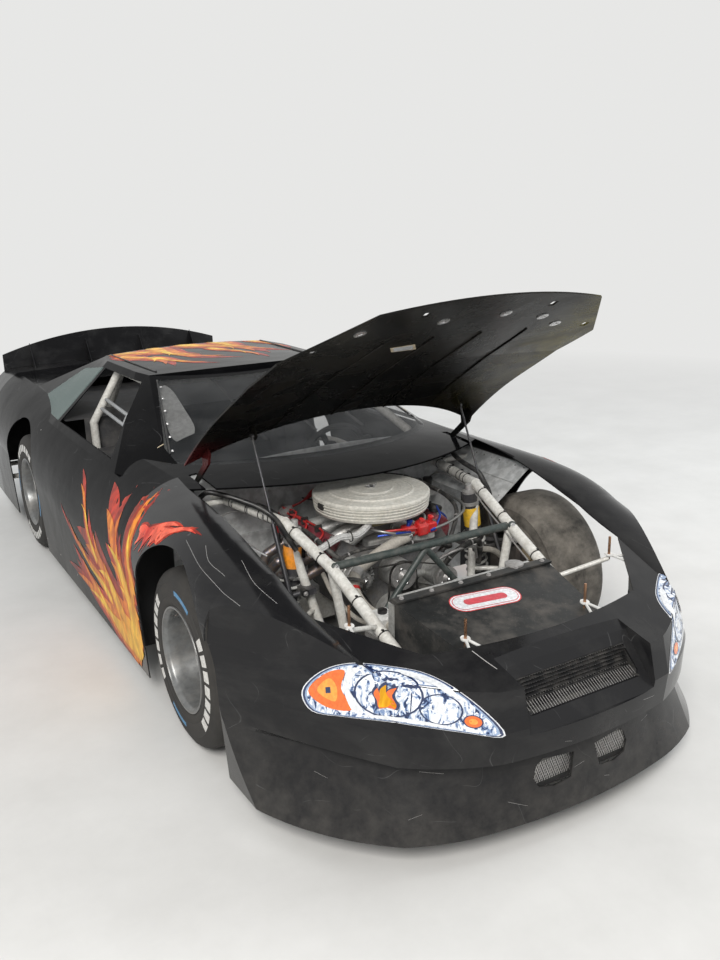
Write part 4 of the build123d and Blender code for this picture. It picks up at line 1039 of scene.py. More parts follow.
# path and fitting of each braided fuel line
FEED_LINES = [
    ([(0.105, -1.375, 0.700), (0.06, -1.36, 0.735), (0.03, -1.30, 0.732), (0.035, -1.255, 0.722)],
     "red_plastic"),
    ([(0.135, -1.375, 0.698), (0.16, -1.34, 0.73), (0.13, -1.28, 0.735), (0.070, -1.23, 0.722)],
     "blue_fitting"),
    ([(0.085, -1.40, 0.685), (0.00, -1.425, 0.700), (-0.09, -1.40, 0.722), (-0.11, -1.30, 0.715),
      (-0.068, -1.22, 0.712)], "red_plastic"),
    ([(0.155, -1.40, 0.680), (0.26, -1.40, 0.700), (0.355, -1.36, 0.72), (0.39, -1.28, 0.735),
      (0.395, -1.10, 0.735), (0.41, -0.82, 0.72)], "blue_fitting"),
]
# x, shift toward the rear and cap of each fuel regulator
REGULATORS = [(0.062, 0.010, "blue_fitting"), (0.112, -0.006, "red_plastic"),
              (0.166, 0.008, "red_plastic")]
# path and radius of each taped loom, banded to the rails, the covers and the brace
LOOMS = [
    ([(-0.45, -0.815, 0.74), (-0.40, -0.92, 0.76), (-0.375, -1.10, 0.745), (-0.36, -1.28, 0.735),
      (-0.33, -1.40, 0.69), (-0.27, -1.44, 0.63)], 0.0105),
    ([(0.30, -0.815, 0.76), (0.34, -0.95, 0.77), (0.36, -1.15, 0.76), (0.34, -1.32, 0.73),
      (0.27, -1.40, 0.66), (0.20, -1.42, 0.58)], 0.009),
    ([(-0.34, -1.43, 0.64), (-0.24, -1.42, 0.668), (-0.12, -1.42, 0.670), (0.00, -1.41, 0.655),
      (0.12, -1.42, 0.64), (0.24, -1.43, 0.60)], 0.0075),
    ([(0.377, -1.44, 0.50), (0.36, -1.47, 0.60), (0.30, -1.50, 0.63), (0.22, -1.49, 0.60),
      (0.18, -1.46, 0.54)], 0.012),
]
# path, radius and look
SMALL_LINES = [
    ([(0.377, -1.45, 0.564), (0.43, -1.455, 0.552), (0.476, -1.45, 0.524), (0.54, -1.44, 0.46)],
     0.0125, "hose_tan"),
    ([(0.10, -1.44, 0.60), (0.17, -1.48, 0.65), (0.26, -1.48, 0.645), (0.33, -1.44, 0.59)],
     0.006, "dull_steel"),
    ([(0.14, -1.45, 0.56), (0.22, -1.50, 0.61), (0.31, -1.49, 0.60), (0.36, -1.45, 0.53)],
     0.006, "dull_steel"),
    ([(-0.34, -1.46, 0.55), (-0.33, -1.52, 0.61), (-0.27, -1.55, 0.60), (-0.23, -1.50, 0.54)],
     0.008, "hose_rubber"),
    ([(-0.36, -1.40, 0.60), (-0.37, -1.50, 0.55), (-0.35, -1.62, 0.50), (-0.32, -1.70, 0.49)],
     0.009, "hose_tan"),
    ([(-0.10, -1.39, 0.70), (-0.02, -1.43, 0.71), (0.04, -1.42, 0.70)], 0.0045, "blue_fitting"),
    ([(-0.09, -1.40, 0.72), (0.00, -1.44, 0.725), (0.07, -1.42, 0.71)], 0.0045, "red_plastic"),
    ([(0.18, -1.40, 0.69), (0.23, -1.36, 0.72), (0.27, -1.28, 0.73)], 0.0045, "blue_fitting"),
]
# pale sleeved harness from the right head up to the intake, in parallel strands
HARNESS = [(-0.400, -1.365, 0.672), (-0.350, -1.385, 0.700), (-0.270, -1.375, 0.722),
           (-0.190, -1.375, 0.716), (-0.118, -1.352, 0.742), (-0.100, -1.30, 0.735)]
HARNESS_TIES = [(-0.330, -1.382, 0.712), (-0.220, -1.376, 0.722)]
STRANDS = 7


def hose(mesh, path, radius, look, fitting=None):
    """A moulded hose with a worm clamp, or a coloured fitting, at each end."""
    line = curve(path, 8)
    mesh.pipe(line, radius, look, 14)
    for here, ahead in ((line[0], line[1] - line[0]), (line[-1], line[-2] - line[-1])):
        ahead = ahead.normalized()
        if fitting:
            nut = [(-0.004, 0.8), (-0.004, 1.25), (0.006, 1.25), (0.009, 1.45), (0.018, 1.45),
                   (0.022, 1.1)]
            mesh.lathe([(along, radius * share) for along, share in nut], here, ahead, fitting, 6)
        else:
            mesh.band(here + ahead * 0.012, ahead, radius + 0.0003, 0.011, 0.0014, "bright_steel", 28)


def add_plumbing():
    """Radiator hoses, fuel lines with coloured fittings, the sleeved harness and the coil."""
    mesh = Mesh("hose_rubber")
    hose(mesh, TOP_HOSE, 0.0235, "hose_tan")
    for spot, width, look in ((5, 0.014, "red_plastic"), (4, 0.030, "dull_steel")):
        mesh.band(TOP_HOSE[spot], Vector(TOP_HOSE[spot + 1]) - Vector(TOP_HOSE[spot - 1]), 0.022,
                  width, 0.002, look, 28)
    mesh.lathe([(0, 0.040), (0.014, 0.040), (0.018, 0.030), (0.040, 0.026)], (0.055, -1.325, 0.640),
               (0, -0.6, 0.8), "dull_steel", 28)
    hose(mesh, LOW_HOSE, 0.021, None)
    for path, fitting in FEED_LINES:
        hose(mesh, path, 0.0062, "braided_steel", fitting)
    for x, shift, cap in REGULATORS:
        mesh.block((x - 0.026, shift - 1.412, 0.668), (x + 0.018, shift - 1.362, 0.712), 0.006,
                   "red_plastic")
        mesh.lathe([(0, 0.010), (0.014, 0.010), (0.016, 0.013), (0.026, 0.013), (0.028, 0.008)],
                   (x - 0.004, shift - 1.388, 0.712), (0.1, -0.3, 1), cap, 12)
    mesh.lathe([(0, 0.030), (0.016, 0.030), (0.022, 0.024), (0.030, 0.010)], (0.118, -1.382, 0.698),
               (0.1, -0.2, 1), "red_plastic", 28)
    mesh.block((0.050, -1.392, 0.640), (0.180, -1.366, 0.670), 0.004, "cast_alloy")
    mesh.lathe([(0, 0.022), (0.004, 0.024), (0.070, 0.024), (0.076, 0.018)], (0.052, -1.400, 0.678),
               (-1, 0.05, -0.02), "bright_steel", 28)
    for path, radius in LOOMS:
        line = curve(path, 7)
        mesh.pipe(line, radius)
        for k in range(6, len(line) - 3, 9):
            mesh.band(line[k], line[k + 1] - line[k - 1], radius + 0.0002, 0.006, 0.0014,
                      "dull_steel", 16)
    for path, radius, look in SMALL_LINES:
        mesh.pipe(curve(path, 7), radius, look, 9)
    for k in range(STRANDS):
        shift = Vector((0, 0.009 * (k % 4) - 0.012, 0.008 * (k // 4) + 0.004 * (k % 2)))
        mesh.pipe(curve([Vector(p) + shift for p in HARNESS]), 0.0062, "sleeve_silver", 8)
    for spot in HARNESS_TIES:
        mesh.band(spot, (1, 0, 0.1), 0.021, 0.005, 0.002)
    mesh.lathe([(0, 0.010), (0.012, 0.013), (0.030, 0.012), (0.036, 0.006)],
               (-0.112, -1.352, 0.748), (-0.2, -0.5, 0.9), "red_plastic", 16)
    mesh.done("plumbing", "engine_iron")


DISTRIBUTOR = Vector((-0.070, -0.905, 0.752))
PLUGS_Y = (-1.27, -1.15, -1.03, -0.92)
WIRE_CLIPS_Y = (-1.21, -1.09, -0.98)
COVER_BOLTS_Y = (-1.300, -1.095, -0.890)
# x, y and look of the oil filler and the breather
COVER_CAPS = [(-0.272, -0.925, "dull_steel"), (0.272, -1.255, "trim_black")]


def plug_wire(side, number, y, tower):
    """From the distributor's tower back, along the valve cover in lanes, and down to the plug."""
    lane, height = 0.268 + 0.012 * (number % 2), 0.716 + 0.012 * (number // 2)
    path = [tower + UP * 0.014, tower + Vector((side * 0.03, 0.0, 0.022)),
            (side * 0.18, -0.895, 0.735), (side * lane, -0.93, height)]
    if y < -0.95:
        path.append((side * lane, (y - 0.93) / 2, height))
    path += [(side * (lane + 0.006), y + 0.02, height - 0.004), (side * 0.325, y, 0.670),
             (side * 0.322, y - 0.01, 0.612)]
    return curve(path)


def add_ignition():
    """Distributor cap, plug wires in their looms, boots, and the covers' caps and bolts."""
    covers = Panel("valve_covers")
    mesh, wires = Mesh("bright_steel"), Mesh("trim_black")
    mesh.lathe([(-0.045, 0.0495), (-0.012, 0.0495), (-0.004, 0.044), (0, 0.028)], DISTRIBUTOR, UP,
               "red_plastic", 36)
    towers = [DISTRIBUTOR + out * 0.033 for out in circle(8, "xy", 0.3)]
    for (side, _), (cap_x, cap_y, cap_look), wire in zip(SIDES, COVER_CAPS, ("wire_red", "wire_blue")):
        for number, y in enumerate(PLUGS_Y):
            tower = towers[number + (0 if side < 0 else 4)]
            mesh.lathe([(-0.006, 0.008), (0.014, 0.0075), (0.018, 0.006)], tower, UP, "red_plastic", 12)
            wires.pipe(plug_wire(side, number, y, tower), 0.0045, wire, 8)
            wires.lathe([(0, 0.0085), (0.035, 0.0075), (0.040, 0.005)],
                        (side * 0.322, y - 0.01, 0.585), UP, None, 12)
        for y in WIRE_CLIPS_Y:
            wires.block((side * 0.274 - 0.016, y - 0.003, 0.703),
                        (side * 0.274 + 0.016, y + 0.003, 0.732), 0.002)
        for place, normal in covers.hits([(side * 0.262, y, 1.0) for y in COVER_BOLTS_Y], DOWN):
            mesh.bolt(place, normal, 0.007)
        for place, normal in covers.hits([(cap_x, cap_y, 1.0)], DOWN):
            mesh.filler(place, normal, 0.024, 0.012, 0.031, 0.030, 0.024, cap_look)
    mesh.done("caps_and_bolts", "cover_maroon")
    wires.done("plug_wires", "engine_iron")


RUNNERS_Y = (-1.27, -1.17, -1.05, -0.95)
BOWLS_Y, CARBURETTOR_Y = (-1.262, -1.098), -1.18
THROTTLE_CABLE = [(-0.085, -1.16, 0.712), (-0.10, -1.08, 0.72), (-0.12, -0.93, 0.73),
                  (-0.14, -0.81, 0.72)]
# radius and depth of each pressed ring in the air cleaner's lid
LID_RINGS = [(0.090, 0.0), (0.130, 0.0045), (0.176, 0.0045)]
WING = [(0.006, 0.005), (0.026, 0.006), (0.030, 0.014), (0.010, 0.011)]


def add_intake():
    """Manifold runners, carburettor bowls with their linkage, and the air cleaner's nut."""
    mesh = Mesh("cast_alloy")
    for side, _ in SIDES:
        for y in RUNNERS_Y:
            inner = -1.18 + (y + 1.11) * 0.45
            mesh.pipe(curve([(side * 0.050, inner, 0.690), (side * 0.110, (inner + y) / 2, 0.678),
                             (side * 0.190, y, 0.635)]), 0.027, None, 12)
    mesh.block((-0.095, -1.31, 0.618), (0.095, -0.93, 0.650), 0.006)
    mesh.block((-0.075, -1.262, 0.690), (0.075, -1.098, 0.708), 0.004)
    for y in BOWLS_Y:
        out = FORE if y < CARBURETTOR_Y else AFT
        mesh.block((-0.060, y - 0.022, 0.700), (0.060, y + 0.022, 0.738), 0.006, "carb_gold")
        for x in (-0.045, 0.045):
            mesh.bolt(Vector((x, y, 0.718)) + out * 0.023, out, 0.005, "bright_steel")
    mesh.pipe(curve(THROTTLE_CABLE), 0.004, "trim_black", 8)
    mesh.block((-0.092, -1.175, 0.700), (-0.086, -1.140, 0.735), 0.001, "bright_steel")
    mesh.done("intake", "cast_alloy")
    low, high = (Vector(corner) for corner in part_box("air_cleaner"))
    at = Vector(((low.x + high.x) / 2, (low.y + high.y) / 2, high.z))
    top = Mesh("bright_steel")
    top.lathe([(0, 0.018), (0.004, 0.018), (0.005, 0.012), (0.009, 0.008)], at, UP, None, 24)
    for side, _ in SIDES:
        top.plate([at + Vector((side * x, -0.002, z)) for x, z in WING], AFT * 0.004, 0.0008)
    for radius, depth in LID_RINGS:
        top.lathe([(-0.003, radius - 0.004), (0.0005, radius - 0.002), (0.0005, radius + 0.002),
                   (-0.003, radius + 0.004)], at - UP * depth, UP, "filter_white", 96, False)
    top.block(at + Vector((-0.252, -0.030, -0.050)), at + Vector((-0.244, 0.010, -0.028)), 0.002,
              "trim_black")
    top.done("air_cleaner_top", "filter_white")


FIREWALL_Y = -0.806
FIREWALL_BOLTS = [(0.30, 0.78), (0.42, 0.72), (0.52, 0.62), (0.24, 0.70), (0.36, 0.86)]
# x and lid of each reservoir on the driver's side of the firewall
RESERVOIRS = [(0.395, "dull_steel"), (0.455, "trim_black"), (0.515, "trim_black")]


def add_sheet_metal():
    """Rivets, folded edges and bolts on the firewall and the side sheets, and the reservoirs."""
    mesh, sheets = Mesh("bright_steel"), Panel("firewall")
    for side, _ in SIDES:
        for x in (0.600, 0.740):
            rows = [(side * x, -1.295 + k * 0.057, 1.2) for k in range(9)]
            for place, normal in sheets.hits(rows, DOWN):
                if place.z > 0.65:
                    mesh.rivet(place, normal, 0.0042)
        fold = sheets.hits([(side * 0.668, -1.315 + k * 0.050, 1.2) for k in range(11)], DOWN)
        mesh.pipe([place + normal * 0.001 for place, normal in fold], 0.0035, "sheet_grey", 8)
        for place, normal in sheets.hits([(side * x, -1.0, z) for x, z in FIREWALL_BOLTS], AFT):
            mesh.bolt(place, normal, 0.006, "dull_steel")
    for z in (0.86, 0.60):
        mesh.block((-0.50, FIREWALL_Y - 0.006, z - 0.008), (0.50, FIREWALL_Y, z + 0.008), 0.002,
                   "sheet_grey")
    for x, lid in RESERVOIRS:
        mesh.block((x - 0.020, -0.905, 0.640), (x + 0.020, FIREWALL_Y, 0.672), 0.004, "cast_alloy")
        mesh.lathe([(0, 0.020), (0.036, 0.022), (0.038, 0.024), (0.048, 0.024), (0.052, 0.018)],
                   (x, -0.860, 0.670), UP, lid, 20)
    mesh.done("firewall_fittings", "sheet_grey")


SHOCK_LOW, SHOCK_TOP = (0.500, -1.310, 0.225), (0.430, -1.300, 0.770)
HUB_Y, HUB_Z = -1.31, 0.35
COLLAR = {-1: "orange_paint", 1: "yellow_paint"}


def add_front_corner():
    """Coil springs, shock collars, bushings, ball joints, and a caliper that turns with its wheel."""
    for side, name in SIDES:
        mesh = Mesh("dull_steel")
        low, top = flip(SHOCK_LOW, side), flip(SHOCK_TOP, side)
        axis = top - low
        mesh.coil(low.lerp(top, 0.14), low.lerp(top, 0.64), 0.0455, 0.0062, 8.5, "spring_white")
        for share in (0.12, 0.655):
            mesh.lathe([(-0.006, 0.035), (-0.006, 0.050), (0.003, 0.050), (0.006, 0.036)],
                       low.lerp(top, share), axis, "bright_steel", 32)
        mesh.lathe([(0, 0.0352), (0.002, 0.037), (0.085, 0.037), (0.088, 0.0352)],
                   low.lerp(top, 0.72), axis, COLLAR[side], 32)
        mesh.lathe([(0, 0.0352), (0.002, 0.0385), (0.016, 0.0385), (0.018, 0.030)],
                   low.lerp(top, 0.90), axis, None, 32)
        mesh.lathe([(0, 0.030), (0.010, 0.030), (0.014, 0.016), (0.040, 0.014)], top, axis, None, 24)
        for y in (-1.46, -1.16):
            mesh.lathe([(-0.024, 0.021), (0.024, 0.021)], flip((0.372, y, 0.222), side), AFT,
                       "hose_rubber", 20)
        for y in (-1.39, -1.23):
            pivot = flip((0.444, y, 0.540), side)
            mesh.lathe([(-0.020, 0.016), (0.020, 0.016)], pivot, AFT, "hose_rubber", 20)
            mesh.bolt(pivot + FORE * 0.021, FORE, 0.008)
        for z, out in ((0.196, DOWN), (0.494, UP)):
            mesh.lathe([(0, 0.026), (0.014, 0.026), (0.020, 0.018), (0.030, 0.010)],
                       flip((0.688, HUB_Y, z), side), out, None, 24)
        mesh.done(f"front_corner_{name}", "arm_paint")
        brake = Mesh("caliper_tan")
        base = Vector((side * 0.704, HUB_Y, HUB_Z))
        brake.ribs(base, circle(6, "yz", radians(150), radians(-8)), (0.098, 0.168), 0.0085,
                   (side * 0.058, 0, 0), 0.002)
        brake.boss(base + Vector((0, -0.085, 0.100)), (-side, 0, 0), 0.026, 0.010, 0.020, 0.013)
        brake.done(f"caliper_{name}", "hub_iron", f"steer_{name}")


# oval sticker on the radiator cover: middle, half length, half width and turn
STICKER_X, STICKER_Y, STICKER_HALF, STICKER_WIDE = -0.035, -2.006, 0.142, 0.050
STICKER_TURN = radians(-6)
# growth and look of its layers
STICKER_LAYERS = [(0.0, "sticker_rim"), (-0.004, "lamp_white"), (-0.010, "sticker_line"),
                  (-0.013, "lamp_white")]
COVER_BAR_Y = -1.914
# ring of each hood-pin fork, and the feet of its legs
PIN_FORKS = [((0.263, -2.190, 0.620), ((0.235, -2.258, 0.604), (0.293, -2.258, 0.604))),
             ((0.582, -1.988, 0.668), ((0.600, -2.055, 0.660), (0.622, -2.025, 0.664)))]


def stadium(half, wide, steps=12):
    """The sticker's bar with round ends."""
    line = []
    for end in (1, -1):
        for k in range(steps + 1):
            angle = pi * k / steps - end * pi / 2
            a = end * (half - wide) + wide * cos(angle)
            b = wide * sin(angle)
            line.append((STICKER_X + a * cos(STICKER_TURN) - b * sin(STICKER_TURN),
                         STICKER_Y + a * sin(STICKER_TURN) + b * cos(STICKER_TURN)))
    return line


def add_radiator_cover():
    """Riveted bar, blank oval sticker, hood-pin forks, cap and overflow bottle."""
    mesh, cover = Mesh("sticker_line"), Panel("radiator_duct")
    for level, (grow, look) in enumerate(STICKER_LAYERS):
        decal(mesh, cover, stadium(STICKER_HALF + grow, STICKER_WIDE + grow), FROM_ABOVE,
              0.0006 + 0.0003 * level, look)
    decal(mesh, cover, stadium(STICKER_HALF * 0.62, STICKER_WIDE * 0.34), FROM_ABOVE, 0.0022, None)
    mesh.done("cover_sticker", "duct_black")
    bar = Mesh("dull_steel")
    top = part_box("radiator_duct")[1][2]
    bar.block((-0.352, COVER_BAR_Y - 0.006, top - 0.002), (0.352, COVER_BAR_Y + 0.036, top + 0.004),
              0.002, "duct_black")
    for k in range(6):
        bar.bolt((-0.32 + k * 0.128, COVER_BAR_Y + 0.015, top + 0.004), UP, 0.0075)
    for place, normal in cover.hits([(-0.30 + k * 0.075, -2.335, 1.0) for k in range(9)], DOWN):
        bar.rivet(place, normal)
    bar.filler((0.21, -1.868, 0.652), UP, 0.030, 0.010, 0.036, 0.022, 0.026, None, 28)
    bar.block((-0.345, -1.790, 0.430), (-0.262, -1.700, 0.552), 0.008, "white_paint")
    bar.boss((-0.303, -1.745, 0.552), UP, 0.018, 0.014, 0.012, 0.016, "trim_black", 20)
    bar.block((-0.352, -1.845, 0.455), (-0.338, -1.700, 0.475), 0.002)
    bar.done("cover_bar", "duct_black")
    forks = Mesh("white_paint")
    for side, _ in SIDES:
        for eye, legs in PIN_FORKS:
            at = flip(eye, side)
            forks.lathe([(-0.0025, 0.0062), (-0.0025, 0.017), (0.0025, 0.017), (0.0025, 0.0062),
                         (-0.0025, 0.0062)], at, (0, -0.15, 1), None, 24, False)
            for leg in legs:
                foot = flip(leg, side)
                forks.pipe([at + (foot - at).normalized() * 0.015, foot], 0.0052)
            forks.lathe([(0, 0.0062), (0.004, 0.0085), (0.008, 0.0062)], at, DOWN, "bright_steel", 16)
    forks.done("pin_forks", "pin_metal")


# grille and lower inlets
RIBS, RIB_LOW, RIB_PITCH, RIB_HALF = 9, 0.474, 0.0105, 0.232
RIB_SECTION = [(0, -0.0006, 0.0035, 0), (0, -0.013, 0.0015, 0), (0, -0.013, -0.0005, 0),
               (0, -0.0006, -0.002, 0)]
GRILLE_WIRES, WIRE_PITCH = 44, 0.0108
CLOTH_WIRES, CLOTH_PITCH, CLOTH_LEAN = 28, 0.0105, 0.060


def add_grille():
    """Louvre ribs and wire cloth in the grille and the two lower inlets."""
    mesh, wires = Mesh("trim_black"), Mesh("dull_steel")
    screen, cloth = Panel("grille"), Panel("inlet_meshes")
    for k in range(RIBS):
        z = RIB_LOW + k * RIB_PITCH
        line = screen.hits(between((-RIB_HALF, BEFORE, z), (RIB_HALF, BEFORE, z), 12), AFT)
        strip(mesh, line, RIB_SECTION)
    for k in range(GRILLE_WIRES):
        x = -0.233 + k * WIRE_PITCH
        draped(wires, screen, between((x, BEFORE, 0.470), (x, BEFORE, 0.562), 3), AFT, 0.0009,
               None, 0.0008, 4)
    for side, _ in SIDES:
        for k in range(CLOTH_WIRES):
            for lean in (-CLOTH_LEAN, CLOTH_LEAN):
                foot = 0.036 + k * CLOTH_PITCH - max(0, lean)
                start, end = (side * foot, BEFORE, 0.180), (side * (foot + lean), BEFORE, 0.302)
                draped(wires, cloth, between(start, end, 5), AFT, 0.0011, None, 0.001, 4, 0.03)
    mesh.done("grille_ribs", "mesh_dark")
    wires.done("inlet_wires", "mesh_dark")


# hood as it stands open: a place on its hinge, the way out of its underside and up its slope
HOOD_HINGE = Vector((0, -0.825, 0.870))
HOOD_OUT = Vector((0.02, -0.47, -0.88)).normalized()
HOOD_SLOPE = Vector((0, -0.725, 0.688))
LABEL = [(-0.244, -1.725, 1.513), (-0.145, -1.731, 1.518), (-0.105, -1.678, 1.491),
         (-0.212, -1.682, 1.491)]
PIN_PLATES = [(-0.463, -1.896, 1.596), (0.097, -1.922, 1.622), (0.419, -1.814, 1.553),
              (-0.150, -1.905, 1.610), (0.300, -1.880, 1.590)]
BEADS_X, HINGE_BOLTS_X = (-0.36, -0.12, 0.12, 0.36), (-0.30, 0.0, 0.30)


def add_hood_parts():
    """Blank label, pin plates, stiffening beads and hinge bolts, all moving with the hood."""
    mesh, hood = Mesh("bright_steel"), Panel("hood")

    def under(points):
        return hood.hits([Vector(p) + HOOD_OUT * 0.2 for p in points], -HOOD_OUT)

    corners = [place + normal * 0.0008 for place, normal in under(LABEL)]
    middle = sum(corners, Vector()) / len(corners)
    mesh.plate(corners, HOOD_OUT * 0.0006, look="tan_label")
    inner = [corner.lerp(middle, 0.22) + HOOD_OUT * 0.0009 for corner in corners]
    mesh.plate(inner, HOOD_OUT * 0.0004, look="lamp_white")
    for place, normal in under(PIN_PLATES):
        mesh.lathe([(0, 0.022), (0.0025, 0.022), (0.003, 0.019), (0.003, 0.009), (0.001, 0.008)],
                   place, normal, None, 28)
        for out in circle(3, "xy"):
            out = (out - normal * out.dot(normal)).normalized()
            mesh.rivet(place + normal * 0.0028 + out * 0.0145, normal, 0.0022)
    for x in BEADS_X:
        start = HOOD_HINGE + Vector((x * 1.12, 0, 0)) + HOOD_SLOPE * 0.16
        end = HOOD_HINGE + Vector((x * 0.86, 0, 0)) + HOOD_SLOPE * 1.20
        draped(mesh, hood, [p + HOOD_OUT * 0.2 for p in between(start, end, 24)], -HOOD_OUT, 0.0042,
               "hood_black", 0.0005, 8)
    spots = [HOOD_HINGE + Vector((x, 0, 0)) + HOOD_SLOPE * share
             for x in HINGE_BOLTS_X for share in (0.028, 0.055)]
    for place, normal in under(spots):
        mesh.bolt(place, normal, 0.007, "dull_steel")
    mesh.done("hood_parts", "hood_black", "hood")


# plan x and y of the scratches: all three are on the right fender, the short one on both
LONG_SCRATCH = [(-0.892, -1.361), (-0.911, -1.503), (-0.913, -1.588), (-0.900, -1.701),
                (-0.880, -1.800)]
SHORT_SCRATCH = [(-0.86, -1.47), (-0.885, -1.56), (-0.87, -1.66)]
INNER_SCRATCH = [(-0.79, -1.62), (-0.80, -1.74), (-0.775, -1.86)]
SCRATCHES = {-1: (LONG_SCRATCH, SHORT_SCRATCH, INNER_SCRATCH), 1: (SHORT_SCRATCH,)}
# a pale line along the nose's edge between the right lamp bulge and the middle: a painted highlight
CREASE_HIGHLIGHT = [(-0.307, -2.283, 1), (-0.299, -2.334, 1), (-0.289, -2.385, 1)]
SCUFFS, SCUFF_SEED = 11, 7


def add_wear():
    """Scratches on the fenders, a pale line painted along a crease of the nose as a highlight, and short
    scuffs on the bumper.
    """
    mesh = Mesh("scuff_and_highlight_pale")
    for side, name in SIDES:
        fender = Panel(f"fender_{name}", "nose_panel")
        for line in SCRATCHES[side]:
            spots = curve([(-side * x, y, 1.3) for x, y in line], 8)
            draped(mesh, fender, spots, DOWN, 0.0007, None, -0.0001, 5)
    nose = Panel("nose_panel")
    # the pale line on the crease is a painted highlight
    draped(mesh, nose, curve(CREASE_HIGHLIGHT), DOWN, 0.0016, None, -0.0003, 5)
    spots = random.Random(SCUFF_SEED)
    for _ in range(SCUFFS):
        x, z = spots.uniform(-0.85, 0.85), spots.uniform(0.14, 0.42)
        length, lean = spots.uniform(0.02, 0.09), spots.uniform(-0.5, 0.5)
        draped(mesh, nose, between((x, -2.9, z), (x + length, -2.9, z + length * lean), 5), AFT,
               0.00045, "dull_steel", -0.0001, 4)
    mesh.done("wear_and_highlight_lines", "nose_black")


# windshield: foot and head of its left edge, and the places and section of its straps
SCREEN_FOOT, SCREEN_HEAD = (0.655, -0.565, ABOVE), (0.470, 0.115, ABOVE)
SCREEN_STRAPS_X = (-0.22, 0.0, 0.22)
STRAP_SECTION = [(-0.009, 0, 0, -0.012), (0.009, 0, 0, -0.012), (0.009, 0, 0, -0.009),
                 (-0.009, 0, 0, -0.009)]
SHEET_ROWS = 18


def blanking_sheet(mesh, screen):
    """A pale sheet that stands close behind the screen's right edge, with rounded ends."""
    rings = []
    for k in range(SHEET_ROWS + 1):
        share = k / SHEET_ROWS
        taper = 0.022 * abs(2 * share - 1) ** 6
        y = -0.46 + 0.47 * share
        xs = (-0.612 + taper + 0.10 * share, -0.545 + 0.06 * share, -0.480 - taper + 0.04 * share)
        row = [place - normal * 0.016 for place, normal in screen.hits([(x, y, ABOVE) for x in xs], DOWN)]
        if len(row) == len(xs):
            rings.append(row + [p + DOWN * 0.002 for p in row[::-1]])
    mesh.skin(rings, "white_paint")


def add_glass_trim():
    """Screen seals and their bolts, roof gutters, and the straps behind the windshield."""
    mesh = Mesh("trim_black")
    screen, roof = Panel("windshield"), Panel("roof")
    for side, _ in SIDES:
        foot, head = flip(SCREEN_FOOT, side), flip(SCREEN_HEAD, side)
        inward = Vector((-side * 0.012, 0, 0))
        spots = [foot.lerp(head, 0.05 + 0.15 * k) + inward for k in range(7)]
        for place, normal in screen.hits(spots, DOWN):
            mesh.bolt(place, normal, 0.0055, "bright_steel")
        draped(mesh, screen, between(foot, head, 30), DOWN, 0.0042, None, 0.001, 8)
        gutter = between((side * 0.452, 0.16, ABOVE), (side * 0.475, 1.02, ABOVE), 34)
        draped(mesh, roof, gutter, DOWN, 0.0048, None, 0.002, 8)
    for place, normal in screen.hits([(-0.40 + 0.10 * k, 0.085, ABOVE) for k in range(9)], DOWN):
        mesh.bolt(place, normal, 0.0055, "bright_steel")
    for x in SCREEN_STRAPS_X:
        points = between((x * 1.15, -0.70, ABOVE), (x, 0.11, ABOVE), 24)
        strip(mesh, screen.hits(points, DOWN), STRAP_SECTION)
    blanking_sheet(mesh, screen)
    mesh.done("glass_trim", "body_black")


# y and z of the zigzag and of the rivets, seen from the side
ZIGZAG = [(-0.44, 0.955), (-0.455, 0.985), (-0.435, 1.01), (-0.450, 1.035)]
SILL_RIVETS = [(-0.82, 0.185), (-0.50, 0.185), (-0.15, 0.185), (0.20, 0.185), (0.55, 0.185),
               (0.86, 0.185)]
DOOR_RIVETS = [(0.96, 0.80), (0.96, 0.50), (-0.86, 0.36), (-0.86, 0.62)]


def add_side_marks():
    """Cream zigzag line at each windshield foot, and the rivets of doors and sills."""
    mesh = Mesh("dull_steel")
    panel = Panel("door_panels", "quarter_panels", "cowl_panel", "roof")
    for side, _ in SIDES:
        spot, toward = from_side(side)
        line = [spot(p.x, p.y) for p in curve([(y, z, 0) for y, z in ZIGZAG], 4)]
        draped(mesh, panel, line, toward, 0.0022, "tan_label", 0.0005, 6, 0.05)
        for place, normal in panel.hits([spot(y, z) for y, z in SILL_RIVETS + DOOR_RIVETS], toward):
            mesh.rivet(place - normal * 0.0016, normal, 0.0048)
    mesh.done("side_marks", "body_black")


# middle, width, height, outward, thickness and sewn channels of each seat pad
BACK_RISE, BACK_OUT = Vector((0, 0.221, 0.975)), Vector((0, -0.975, 0.221))
SEAT_PADS = [
    (Vector((0.33, 0.125, 0.241)), Vector((0.36, 0, 0)), Vector((0, 0.35, 0)), UP, 0.045,
     (-0.45, 0.0, 0.45)),
    (Vector((0.33, 0.372, 0.535)), Vector((0.36, 0, 0)), BACK_RISE * 0.50, BACK_OUT, 0.042,
     (-0.6, -0.2, 0.2, 0.6)),
    (Vector((0.33, 0.454, 0.895)), Vector((0.225, 0, 0)), BACK_RISE * 0.11, BACK_OUT, 0.034, ()),
]
PAD_ROWS, PAD_COLUMNS = 22, 36
PAD_SIDE, PAD_FOOT, PAD_PIPING = 0.005, 0.0005, 0.0028


